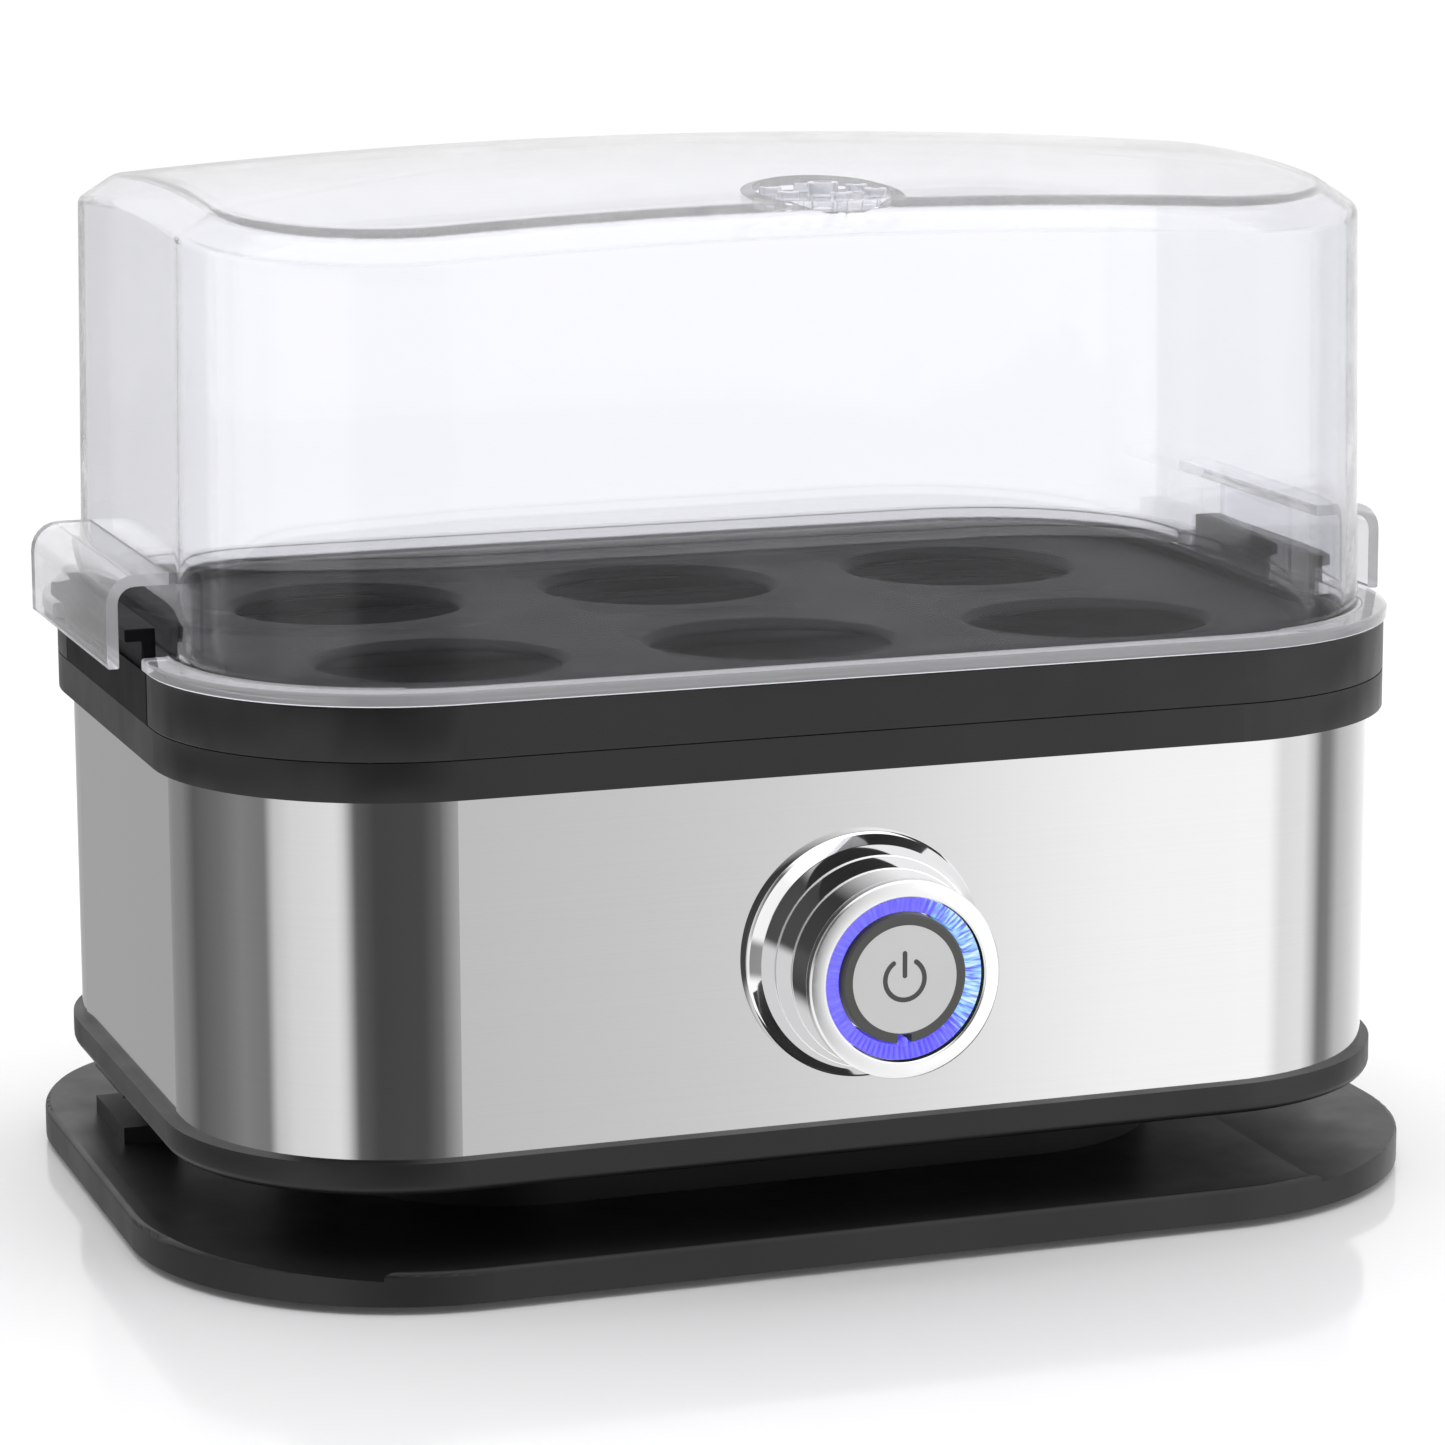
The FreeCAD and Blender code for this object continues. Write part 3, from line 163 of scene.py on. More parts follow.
def sheet_metal(name, low, high, rough, stretch, lines=0.04, relief=0.000004):
    """Metal with a fine grain, which an uneven stretch draws out into lines."""
    finish = Finish(name, high, rough, metallic=1.0)
    grain = finish.noise(1.0, 3.0, stretch, 0.6)
    finish.color(grain, low, high)
    finish.gloss(grain, rough - lines, rough + lines)
    finish.bump(grain, relief, 0.15)
    return finish


# ---------------------------------------------------------------- materials
BLACK = moulded("black_moulded", (0.009, 0.009, 0.0095), (0.013, 0.013, 0.0138), 0.40)
BLACK.shader.inputs["Specular IOR Level"].default_value = 0.42
TRAY_BLACK = moulded("tray_moulded", (0.006, 0.006, 0.007), (0.010, 0.010, 0.012), 0.55)
TRAY_BLACK.shader.inputs["Specular IOR Level"].default_value = 0.08
RUBBER = moulded("foot_rubber", (0.010, 0.010, 0.010), (0.018, 0.018, 0.018), 0.72, 1400.0, 0.00006)
GLAND = moulded("gland_rubber", (0.012, 0.012, 0.012), (0.020, 0.020, 0.020), 0.6, 1800.0, 0.00005)
DARK_GREY = moulded("cap_dark_grey", (0.060, 0.060, 0.058), (0.074, 0.074, 0.070), 0.42)
SYMBOL = moulded("symbol_dark_grey", (0.050, 0.050, 0.048), (0.062, 0.062, 0.060), 0.45)
LIGHT_GREY = moulded("face_light_grey", (0.605, 0.605, 0.605), (0.66, 0.66, 0.66), 0.40)
COMPONENT = moulded("component_black", (0.018, 0.018, 0.019), (0.034, 0.034, 0.036), 0.5, 3200.0)

STEEL = sheet_metal(
    "brushed_stainless", (0.634, 0.634, 0.639), (0.646, 0.646, 0.651), 0.075, (4, 4, 3400),
    lines=0.004, relief=0.0000002,
)
ZINC = sheet_metal("zinc_plated", (0.48, 0.49, 0.51), (0.62, 0.62, 0.60), 0.30, (700, 700, 700))
SPRING = sheet_metal("drawn_wire", (0.42, 0.42, 0.43), (0.58, 0.58, 0.58), 0.24, (300, 2400, 300))
ALUMINIUM = sheet_metal(
    "cast_aluminium", (0.62, 0.62, 0.63), (0.76, 0.76, 0.77), 0.42, (900, 900, 900),
)

CHROME = Finish("polished_chrome", (0.93, 0.93, 0.94), 0.04, metallic=1.0)
CHROME.color(CHROME.noise(45.0, 3.0), (0.91, 0.91, 0.92), (0.95, 0.95, 0.955))
CHROME.gloss(CHROME.noise(160.0, 4.0), 0.02, 0.05)

SATIN = Finish("satin_chrome", (0.88, 0.88, 0.89), 0.22, metallic=1.0)
SATIN.color(SATIN.noise(220.0, 3.0), (0.86, 0.86, 0.865), (0.90, 0.90, 0.905))
SATIN.gloss(SATIN.noise(900.0, 3.0), 0.19, 0.25)
SATIN.bump(SATIN.noise(5200.0, 2.0), 0.000004, 0.2)

NON_STICK = Finish("non_stick_coating", (0.06, 0.06, 0.062), 0.30, metallic=0.35)
NON_STICK.color(NON_STICK.noise(70.0, 3.0), (0.048, 0.048, 0.050), (0.060, 0.060, 0.062))
NON_STICK.gloss(NON_STICK.noise(140.0, 3.0), 0.31, 0.40)
NON_STICK.bump(NON_STICK.noise(1500.0, 2.0), 0.00001, 0.15)

SILICONE = Finish("gasket_silicone", (0.50, 0.50, 0.50), 0.45, Subsurface_Weight=0.15)
SILICONE.color(SILICONE.noise(60.0, 3.0), (0.46, 0.46, 0.45), (0.55, 0.55, 0.54))
SILICONE.bump(SILICONE.noise(1200.0, 2.0), 0.00002, 0.3)

CERAMIC = Finish("steatite_ceramic", (0.80, 0.79, 0.75), 0.62)
CERAMIC.color(CERAMIC.noise(300.0, 5.0), (0.72, 0.70, 0.66), (0.84, 0.83, 0.79))
CERAMIC.bump(CERAMIC.noise(1800.0, 4.0), 0.00004, 0.5)

BOARD = Finish("board_solder_mask", (0.03, 0.16, 0.07), 0.28)
BOARD.color(
    BOARD.noise(420.0, 1.0, (1, 1, 0.25)), (0.018, 0.10, 0.045), (0.035, 0.19, 0.085), 0.48, 0.52,
)
BOARD.gloss(BOARD.noise(300.0, 3.0), 0.22, 0.36)

# A low IOR and an alpha under 1 keep light from being trapped in the lid's slab, which looks black.
CLEAR = Finish(
    "clear_polished_plastic", (0.962, 0.966, 0.998), 0.015, IOR=1.20, Transmission_Weight=1.0,
    Coat_Weight=0.4, Coat_IOR=1.5, Coat_Roughness=0.01, Alpha=0.84,
)
CLEAR.gloss(CLEAR.noise(70.0, 3.0), 0.008, 0.028)
CLEAR.bump(CLEAR.noise(22.0, 1.0), 0.00006, 0.10)

CLEAR_EDGE = Finish(
    "clear_plastic_edges", (0.93, 0.935, 0.97), 0.10,
    IOR=1.35, Transmission_Weight=0.70, Coat_Weight=0.5,
)
CLEAR_EDGE.gloss(CLEAR_EDGE.noise(260.0, 3.0), 0.06, 0.16)


LAMP_ANGLE = math.radians(8)
STREAKS_ROUND = 21.0
STREAKS_OUT = 260.0
GLOW_STOPS = (
    (0.0, (0.030, 0.022, 0.50)), (0.30, (0.100, 0.072, 0.90)), (0.50, (0.13, 0.15, 1.0)),
    (0.72, (0.28, 0.66, 1.0)), (1.0, (0.75, 1.0, 1.0)),
)
GLOW = 0.31
GLOW_BY_LAMP = 0.40
STREAK_REACH = 0.17
STREAK_REACH_BY_LAMP = 0.26


def light_guide():
    """The lit ring: violet-blue with fine radial streaks, and a cool bright stretch by the lamp."""
    finish = Finish(
        "lit_light_guide", (0.08, 0.07, 0.70), 0.18, Coat_Weight=0.5, Coat_Roughness=0.06,
    )
    links, add = finish.links, finish.add
    calc = partial(calculate, finish.tree)

    def vector(operation, source, fixed=None):
        node = add("ShaderNodeVectorMath", operation=operation)
        links.new(source, node.inputs[0])
        if fixed:
            node.inputs[1].default_value = fixed
        return node

    centred = vector("SUBTRACT", finish.place(), (0.0, 0.0, BUTTON_Z)).outputs["Vector"]
    flat = vector("MULTIPLY", centred, (1.0, 0.0, 1.0)).outputs["Vector"]
    spoke = vector("NORMALIZE", flat).outputs["Vector"]
    radius = vector("LENGTH", flat).outputs["Value"]
    lamp = (math.cos(LAMP_ANGLE), 0.0, math.sin(LAMP_ANGLE))
    toward = vector("DOT_PRODUCT", spoke, lamp).outputs["Value"]
    place = add("ShaderNodeCombineXYZ")
    links.new(calc("MULTIPLY", radius, STREAKS_OUT), place.inputs["Y"])
    around = add("ShaderNodeVectorMath", operation="MULTIPLY_ADD")
    around.inputs[1].default_value = (STREAKS_ROUND, 0.0, STREAKS_ROUND)
    links.new(spoke, around.inputs[0])
    links.new(place.outputs["Vector"], around.inputs[2])
    streaks = add("ShaderNodeTexNoise")
    streaks.inputs["Scale"].default_value = 1.0
    streaks.inputs["Detail"].default_value = 2.0
    streaks.inputs["Roughness"].default_value = 0.6
    links.new(around.outputs["Vector"], streaks.inputs["Vector"])
    streak = finish.spread(streaks.outputs["Fac"], -1.0, 1.0)
    near_lamp = finish.spread(toward, 0.0, 1.0, 0.35, 0.80)
    reach = calc("ADD", calc("MULTIPLY", near_lamp, STREAK_REACH_BY_LAMP), STREAK_REACH)
    glow = calc("ADD", calc("MULTIPLY", near_lamp, GLOW_BY_LAMP), GLOW)
    level = calc("ADD", calc("MULTIPLY", streak, reach), glow)
    ramp = add("ShaderNodeValToRGB")
    stops = ramp.color_ramp.elements
    while len(stops) < len(GLOW_STOPS):
        stops.new(0.5)
    for stop, (position, color) in zip(stops, GLOW_STOPS):
        stop.position = position
        stop.color = (*color, 1.0)
    links.new(level, ramp.inputs["Fac"])
    links.new(ramp.outputs["Color"], finish.shader.inputs["Emission Color"])
    finish.shader.inputs["Emission Strength"].default_value = 0.85
    return finish


LIGHT = light_guide()

FINISH_OF = {
    "base_plate": BLACK, "housing_floor": BLACK, "top_frame": BLACK, "rim_collar": BLACK,
    "egg_tray": TRAY_BLACK, "rubber_feet": RUBBER, "cord_gland": GLAND,
    "steel_shell": STEEL, "base_screws": ZINC, "housing_screws": ZINC, "bezel_nut": ZINC,
    "thermostat_strap": ZINC, "heating_element": ALUMINIUM, "heating_bowl": NON_STICK,
    "bowl_gasket": SILICONE, "thermostat": CERAMIC, "thermal_fuse": CERAMIC,
    "terminal_block": CERAMIC, "control_board": BOARD, "led_board": BOARD,
    "push_switch": COMPONENT, "relay": COMPONENT, "buzzer": COMPONENT,
    "button_bezel": CHROME, "button_ring": SATIN, "light_ring": LIGHT, "return_spring": SPRING,
    "button_cap": DARK_GREY, "button_face": LIGHT_GREY, "power_symbol": SYMBOL, "lid": CLEAR,
}
for node_name, node_finish in FINISH_OF.items():
    mesh = NODES[node_name].data
    mesh.materials.clear()
    mesh.materials.append(node_finish.material)


# ---------------------------------------------------------------- softened edges of CAD parts
WELD_DISTANCE = 0.000002
SHARP_EDGE = math.radians(38)
EDGE_ROUNDS = {
    "top_frame": 0.00035, "rim_collar": 0.00035, "housing_floor": 0.0003, "button_cap": 0.0001,
    "egg_tray": 0.0003,
}


def soften(node_name, radius):
    """Small rounds on a CAD part's sharp edges, as a modifier."""
    piece = NODES[node_name]
    weld = piece.modifiers.new("join_faces", "WELD")
    weld.merge_threshold = WELD_DISTANCE
    bevel = piece.modifiers.new("edge_rounds", "BEVEL")
    bevel.width = radius
    bevel.segments = 3
    bevel.limit_method = "ANGLE"
    bevel.angle_limit = SHARP_EDGE
    bevel.use_clamp_overlap = True
    bevel.harden_normals = True


for node_name, radius in EDGE_ROUNDS.items():
    soften(node_name, radius)


# ---------------------------------------------------------------- mesh helpers
def mesh_object(name, build):
    """An object with the mesh that build makes in an empty bmesh."""
    builder = bmesh.new()
    build(builder)
    bmesh.ops.recalc_face_normals(builder, faces=builder.faces)
    mesh = bpy.data.meshes.new(name)
    builder.to_mesh(mesh)
    builder.free()
    made = bpy.data.objects.new(name, mesh)
    bpy.context.scene.collection.objects.link(made)
    return made


def declare(piece, body, stands_for):
    """Puts a piece on the body it rides on, and hides the CAD node it stands for."""
    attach(piece, body)
    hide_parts(stands_for)


def new_piece(name, build, finish, stands_for):
    """A smooth piece of the button that stays with the housing."""
    piece = mesh_object(name, build)
    piece.data.materials.append(finish.material)
    for polygon in piece.data.polygons:
        polygon.use_smooth = True
    declare(piece, "housing", stands_for)
    return piece


def loft(builder, rings, closed=True):
    """Quads between rings of equally many points; closed joins the last ring to the first."""
    rows = [[builder.verts.new(point) for point in ring] for ring in rings]
    for lower, upper in zip(rows, rows[1:] + rows[:1] if closed else rows[1:]):
        count = len(lower)
        for i in range(count):
            builder.faces.new((lower[i], lower[(i + 1) % count], upper[(i + 1) % count], upper[i]))
    return rows


def capped_loft(builder, rings):
    """A loft whose two ends are closed by flat faces."""
    rows = loft(builder, rings, closed=False)
    builder.faces.new(rows[0])
    builder.faces.new(rows[-1])


def fan(builder, ring, centre):
    """Closes a ring with triangles to a middle point."""
    middle = builder.verts.new(centre)
    for i in range(len(ring)):
        builder.faces.new((ring[i], ring[(i + 1) % len(ring)], middle))


def circle(count):
    """Evenly spaced angles round a full turn, in radians."""
    return [2 * math.pi * i / count for i in range(count)]


ROUND_STEP = math.radians(15)


def rounded(points, closed=True):
    """A path of (u, v, corner radius) points, with each corner rounded in short steps."""
    path = []
    count = len(points)
    for i, (u, v, radius) in enumerate(points):
        here = Vector((u, v))
        if radius == 0 or (not closed and i in (0, count - 1)):
            path.append(here)
            continue
        before = (Vector(points[i - 1][:2]) - here).normalized()
        after = (Vector(points[(i + 1) % count][:2]) - here).normalized()
        half = before.angle(after) / 2
        start, end = here + before * radius / math.tan(half), here + after * radius / math.tan(half)
        centre = here + (before + after).normalized() * radius / math.sin(half)
        sweep = math.pi - 2 * half
        steps = max(2, round(sweep / ROUND_STEP))
        from_centre = start - centre
        turn = 1 if from_centre.x * (end - centre).y - from_centre.y * (end - centre).x > 0 else -1
        for k in range(steps + 1):
            angle = turn * sweep * k / steps
            path.append(centre + Vector((
                from_centre.x * math.cos(angle) - from_centre.y * math.sin(angle),
                from_centre.x * math.sin(angle) + from_centre.y * math.cos(angle),
            )))
    return path


# ---------------------------------------------------------------- the button's turned pieces
def button_point(radius, angle, depth):
    """Radius and depth out from the steel face in mm; angle clockwise from 12 o'clock."""
    x, z = radius * MM * math.sin(angle), radius * MM * math.cos(angle)
    return Vector((x, FACE_Y - depth * MM, BUTTON_Z + z))


TURNED_STEPS = 192


def turned(profile):
    """A builder for a ring about the button's axis: (radius, depth, corner radius) in mm."""
    def build(builder):
        loft(builder, [
            [button_point(radius, angle, depth) for angle in circle(TURNED_STEPS)]
            for radius, depth in rounded(profile)
        ])
    return build


bezel = new_piece("button_bezel_turned", turned((
    (14.0, -8.0, 0.2), (14.0, 0.0, 0.0), (19.0, 0.0, 0.3), (19.0, 2.8, 0.25), (18.6, 3.2, 0.6),
    (17.3, 5.0, 0.5), (16.4, 8.2, 0.1), (16.15, 8.2, 0.1), (15.3, 12.2, 0.1), (15.05, 12.2, 0.1),
    (15.05, 18.2, 0.05), (12.5, 18.2, 0.05), (12.5, 10.1, 0.0), (10.8, 10.1, 0.0), (10.8, 6.0, 0.0),
    (3.3, 6.0, 0.1), (3.3, 4.0, 0.1), (12.5, 4.0, 0.2), (12.5, -8.0, 0.2),
)), CHROME, "button_bezel")
silver_ring = new_piece("button_ring_turned", turned((
    (15.05, 18.2, 0.05), (15.05, 19.55, 0.1), (14.75, 19.85, 0.12), (12.7, 20.0, 0.1),
    (12.5, 19.8, 0.1), (12.5, 18.2, 0.05),
)), SATIN, "button_ring")

RIBS = 84
RIB_STEPS = 8
RIB_DEPTH = 0.16
# (radius, depth, share of the ribs' depth) round the section of the clear ring, in mm.
LIGHT_RING_SECTION = (
    (10.08, 12.2, 0.0), (10.08, 18.55, 0.0), (10.2, 18.75, 0.3), (10.5, 18.90, 1.0),
    (11.0, 19.0, 1.0), (11.5, 19.08, 1.0), (11.9, 19.12, 1.0), (12.15, 19.16, 0.4),
    (12.28, 19.12, 0.0), (12.34, 18.9, 0.0), (12.34, 12.2, 0.0),
)
KEY_HALF, KEY_TIP, KEY_ROOT = 0.72, 8.9, 10.3
# (depth, how much the key's outline draws in) from the back of the key to its front, in mm.
KEY_SECTIONS = ((12.4, 0.0), (18.9, 0.0), (19.15, 0.10), (19.25, 0.25))
KEY_STEPS = 12


def ribbed_ring(builder):
    """The clear ring round the button, with fine radial ribs, and its key at 6 o'clock."""
    rings = []
    for radius, depth, rib in LIGHT_RING_SECTION:
        ring = []
        for angle in circle(RIBS * RIB_STEPS):
            cut = RIB_DEPTH * rib * (0.5 + 0.5 * math.cos(RIBS * angle)) ** 2
            ring.append(button_point(radius, angle, depth - cut))
        rings.append(ring)
    loft(builder, rings)
    key(builder)


def key(builder):
    """The rounded key of the light ring, which fits the cap's keyway."""
    centre = KEY_TIP + KEY_HALF
    outline = [(KEY_HALF, KEY_ROOT)]
    outline += [
        (KEY_HALF * math.cos(t), centre - KEY_HALF * math.sin(t))
        for t in [math.pi * i / KEY_STEPS for i in range(KEY_STEPS + 1)]
    ]
    outline += [(-KEY_HALF, KEY_ROOT)]
    rings = []
    for depth, draw_in in KEY_SECTIONS:
        keep = 1 - draw_in / KEY_HALF
        ring = []
        for across, along in outline:
            down = centre + (along - centre) * (keep if along < centre else 1)
            ring.append(Vector((across * keep * MM, FACE_Y - depth * MM, BUTTON_Z - down * MM)))
        rings.append(ring)
    capped_loft(builder, rings)


light_ring = new_piece("light_ring_ribbed", ribbed_ring, LIGHT, "light_ring")

SPRING_LOW, SPRING_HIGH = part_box("return_spring")
SPRING_TURNS = 5.0
SPRING_WIRE = 0.45
CLOSED_TURNS = 0.75
CLOSED_PITCH = 2 * SPRING_WIRE * 1.05
COIL_STEPS = 300
WIRE_SIDES = 12


def coil(builder):
    """A compression spring with closed ends."""
    coil_radius = (SPRING_HIGH.x - SPRING_LOW.x) / 2 / MM - SPRING_WIRE
    front = (FACE_Y - SPRING_LOW.y) / MM - SPRING_WIRE
    back = (FACE_Y - SPRING_HIGH.y) / MM + SPRING_WIRE
    open_turns = SPRING_TURNS - 2 * CLOSED_TURNS
    rings = []
    for i in range(COIL_STEPS + 1):
        turn = SPRING_TURNS * i / COIL_STEPS
        share = min(max((turn - CLOSED_TURNS) / open_turns, 0.0), 1.0)
        at_ends = min(turn, CLOSED_TURNS) + max(turn - SPRING_TURNS + CLOSED_TURNS, 0.0)
        closing = CLOSED_PITCH * at_ends / CLOSED_TURNS
        depth = back + closing + share * (front - back - 2 * CLOSED_PITCH)
        centre = button_point(coil_radius, 2 * math.pi * turn, depth)
        outward = (centre - button_point(0.0, 0.0, depth)).normalized()
        along = Vector((0.0, -1.0, 0.0))
        rings.append([
            centre + (outward * math.cos(a) + along * math.sin(a)) * SPRING_WIRE * MM
            for a in circle(WIRE_SIDES)
        ])
    capped_loft(builder, rings)


spring = new_piece("return_spring_coil", coil, SPRING, "return_spring")
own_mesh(spring)

# Mirror rays pass the button by, so the steel and the sleeve show no image of it.
UNMIRRORED_NODES = ("button_cap", "button_face", "power_symbol", "led_board")
for piece in [bezel, silver_ring, light_ring, spring] + [NODES[name] for name in UNMIRRORED_NODES]:
    piece.visible_glossy = False


# ---------------------------------------------------------------- lid
# Lengths are in mm. Places across the lid are about the object's middle plane.
SEAT_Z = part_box("lid")[0].z / MM
CROWN_Z = SEAT_Z + 74.5
CROWN_LONG, CROWN_ACROSS = 1100.0, 400.0
EDGE_RISE = 65.5
WALL = 1.8
DRAFT = math.tan(math.radians(1.0))
LID_WALL_OUTLINE = Vector((96.1, 67.2, 35.6))
LID_FLANGE_OUTLINE = Vector((100.5, 71.1, 38.5))
ARC_STEPS = 36
LONG_STEPS = 32
SHORT_STEPS = 12
WALL_STEPS = 14
TOP_STEPS = 26
# The top's edge from the side, outside and inside: (inset, drop from the crown, corner radius).
SHOULDER = ((0.0, 20.0, 0.0), (0.0, 3.3, 1.6), (6.0, 0.0, 3.5), (9.0, 0.0, 0.0))
INNER_SHOULDER = ((WALL, 20.0, 0.0), (WALL, 4.36, 0.6), (6.46, WALL, 2.0), (9.0, WALL, 0.0))
FLANGE_THICK = 2.0
WALL_FOOT = SEAT_Z + 3.0
EAR_ROOT, EAR_ROOM_FROM = 95.0, 96.3
EAR_OUT, EAR_TOP, EAR_HALF, EAR_WALL = 105.6, SEAT_Z + 14.7, 28.0, 1.8
EAR_IN = EAR_OUT - EAR_WALL
VENT_Y = -52.0
VENT_SEAT = SEAT_Z + 70.2
VENT_RADIUS = 10.6
VENT_CUT_TOP = CROWN_Z + 5.0
VENT_BORE_FOOT = CROWN_Z - 12.0
VENT_TUBES = 6
TUBE_CIRCLE = 8.0
TUBE_RADIUS, TUBE_TOP = 1.7, VENT_SEAT + 1.2
MIDDLE_TUBE_RADIUS, MIDDLE_TUBE_TOP = 2.35, VENT_SEAT + 2.0
TUBE_WALL = 0.9
TUBE_EDGE = 0.25
STEM_SIDES, BORE_SIDES = 48, 24
LID_SHARP_EDGE = math.radians(35)


def crown(x, y):
    """Height of the pillowed top at a place."""
    across = CROWN_LONG - CROWN_ACROSS + math.sqrt(CROWN_ACROSS ** 2 - y * y)
    return CROWN_Z - CROWN_LONG + math.sqrt(across ** 2 - x * x)


def outline(size):
    """Points round a rounded rectangle of (half length, half depth, corner radius)."""
    half_x, half_y, corner = size
    centres = [(half_x - corner, half_y - corner), (corner - half_x, half_y - corner),
               (corner - half_x, corner - half_y), (half_x - corner, corner - half_y)]
    points = []
    for quarter, (x, y) in enumerate(centres):
        arc = [
            (x + corner * math.cos(a), y + corner * math.sin(a))
            for a in [math.pi / 2 * (quarter + i / ARC_STEPS) for i in range(ARC_STEPS + 1)]
        ]
        points += arc
        next_x, next_y = centres[(quarter + 1) % 4]
        turn = math.pi / 2 * ((quarter + 1) % 4)
        goal_x, goal_y = next_x + corner * math.cos(turn), next_y + corner * math.sin(turn)
        here_x, here_y = arc[-1]
        steps = LONG_STEPS if quarter % 2 == 0 else SHORT_STEPS
        points += [
            (here_x + (goal_x - here_x) * j / steps, here_y + (goal_y - here_y) * j / steps)
            for j in range(1, steps)
        ]
    return points


def lid_point(x, y, z):
    """A point in metres from a place in mm about the middle plane."""
    return Vector((x * MM, MIDDLE_Y + y * MM, z * MM))


def inset_outline(inset):
    """The wall's outline, drawn in by that much all round."""
    return LID_WALL_OUTLINE - Vector((inset, inset, inset))


def dome_rings(sink, shoulder, foot_z):
    """Rings up the lid's wall, over its bevelled shoulder and across the top.

    sink is how far the wall lies inside the outer face.
    """
    profile = rounded(shoulder, closed=False)
    edge_drop, top_drop = profile[1].y, profile[-1].y
    foot_inset = DRAFT * (foot_z - SEAT_Z)
    top_inset = DRAFT * EDGE_RISE
    rings = []
    for i in range(WALL_STEPS):
        share = i / WALL_STEPS
        size = inset_outline(sink + foot_inset + (top_inset - foot_inset) * share)
        rings.append([
            lid_point(x, y, foot_z + (crown(x, y) - edge_drop - foot_z) * share)
            for x, y in outline(size)
        ])
    for across, drop in profile[1:]:
        size = inset_outline(top_inset + across)
        rings.append([lid_point(x, y, crown(x, y) - drop) for x, y in outline(size)])
    last = inset_outline(top_inset + profile[-1].x)
    for i in range(1, TOP_STEPS):
        size = last * (1 - i / TOP_STEPS)
        rings.append([lid_point(x, y, crown(x, y) - top_drop) for x, y in outline(size)])
    return rings


def flange_rings():
    """Rings out under the flange and back over it to the wall."""
    spread = LID_FLANGE_OUTLINE - LID_WALL_OUTLINE
    wide = spread.x
    path = rounded((
        (0.0, 0.0, 0.0), (wide, 0.0, 0.4), (wide, FLANGE_THICK, 0.5), (0.0, FLANGE_THICK, 0.8),
        (0.0, 6.0, 0.0),
    ), closed=False)
    rings = []
    for u, v in path[:-1]:
        size = LID_WALL_OUTLINE + spread * (u / wide)
        rings.append([lid_point(x, y, SEAT_Z + v) for x, y in outline(size)])
    return rings


def lid_outside(builder):
    """The lid's outer shape as a full solid: flange, wall, bevelled shoulder and pillowed top."""
    rings = flange_rings() + dome_rings(0.0, SHOULDER, WALL_FOOT)
    rows = loft(builder, rings, closed=False)
    fan(builder, rows[0], lid_point(0, 0, SEAT_Z))
    fan(builder, rows[-1], lid_point(0, 0, CROWN_Z))


def lid_inside(builder):
    """The lid's hollow as a full solid, one wall thickness inside the outer shape."""
    rows = loft(builder, dome_rings(WALL, INNER_SHOULDER, SEAT_Z - 1.0), closed=False)
    fan(builder, rows[0], lid_point(0, 0, SEAT_Z - 1.0))
    fan(builder, rows[-1], lid_point(0, 0, CROWN_Z - WALL))


def prism(side, path, y_half):
    """A builder for a prism along Y from an (x, z) outline, at the right (1) or the left (-1)."""
    return lambda builder: capped_loft(
        builder, [[lid_point(side * x, y, z) for x, z in path] for y in (-y_half, y_half)],
    )


def ear_band(side):
    """The finger grip that stands out from the lid's end, bent down at its outer edge."""
    foot, under = SEAT_Z + 0.5, EAR_TOP - EAR_WALL
    return prism(side, rounded((
        (EAR_ROOT, EAR_TOP, 0.0), (EAR_OUT, EAR_TOP, 4.5), (EAR_OUT, foot, 0.35),
        (EAR_IN, foot, 0.35), (EAR_IN, under, 2.7), (EAR_ROOT, under, 0.0),
    )), EAR_HALF)


def ear_room(side):
    """The gap in the flange under an ear, for the tray's grip."""
    low, high = SEAT_Z - 1, SEAT_Z + 3
    corners = ((EAR_ROOM_FROM, low), (EAR_IN, low), (EAR_IN, high), (EAR_ROOM_FROM, high))
    return prism(side, corners, EAR_HALF + 0.5)


def uprights(stems, sides=STEM_SIDES):
    """A builder for upright rods, each from stem()."""
    def build(builder):
        for x, y, profile in stems:
            capped_loft(builder, [
                [lid_point(x + r * math.cos(a), y + r * math.sin(a), z) for a in circle(sides)]
                for r, z in rounded(profile, closed=False) if r > 0
            ])
    return build


def stem(x, y, radius, low_z, top_z, edge=0.0):
    """An upright rod, with its profile as (radius, height, corner radius) points."""
    return x, y, ((0.0, low_z, 0.0), (radius, low_z, 0.0), (radius, top_z, edge), (0.0, top_z, 0.0))


def combine(base, operation, tool):
    """Joins the tool to the base piece, or cuts it away, for good."""
    step = base.modifiers.new("step", "BOOLEAN")
    step.operation = operation
    step.solver = "EXACT"
    step.object = tool
    depsgraph = bpy.context.evaluated_depsgraph_get()
    made = bpy.data.meshes.new_from_object(base.evaluated_get(depsgraph))
    base.modifiers.clear()
    base.data = made
    bpy.data.objects.remove(tool)


def past_wall(x, y):
    """How far outside the foot of the lid's wall a place is."""
    half_x, half_y, corner = LID_WALL_OUTLINE
    over_x, over_y = abs(x) - half_x + corner, abs(y) - half_y + corner
    return math.hypot(max(over_x, 0.0), max(over_y, 0.0)) + min(max(over_x, over_y), 0.0) - corner


def scatters(place):
    """Whether a face of the lid is on the flange, an ear's end or a vent tube, which look milky."""
    x, y, z = place.x / MM, (place.y - MIDDLE_Y) / MM, place.z / MM
    flange = z < SEAT_Z + FLANGE_THICK + 0.2 and past_wall(x, y) > 0.3
    ear_end = abs(y) > EAR_HALF - 0.05 and abs(x) > EAR_ROOT + 2.0 and z < EAR_TOP
    tube = z > VENT_SEAT + 0.1 and math.hypot(x, y - VENT_Y) < VENT_RADIUS - 0.2
    return flange or ear_end or tube


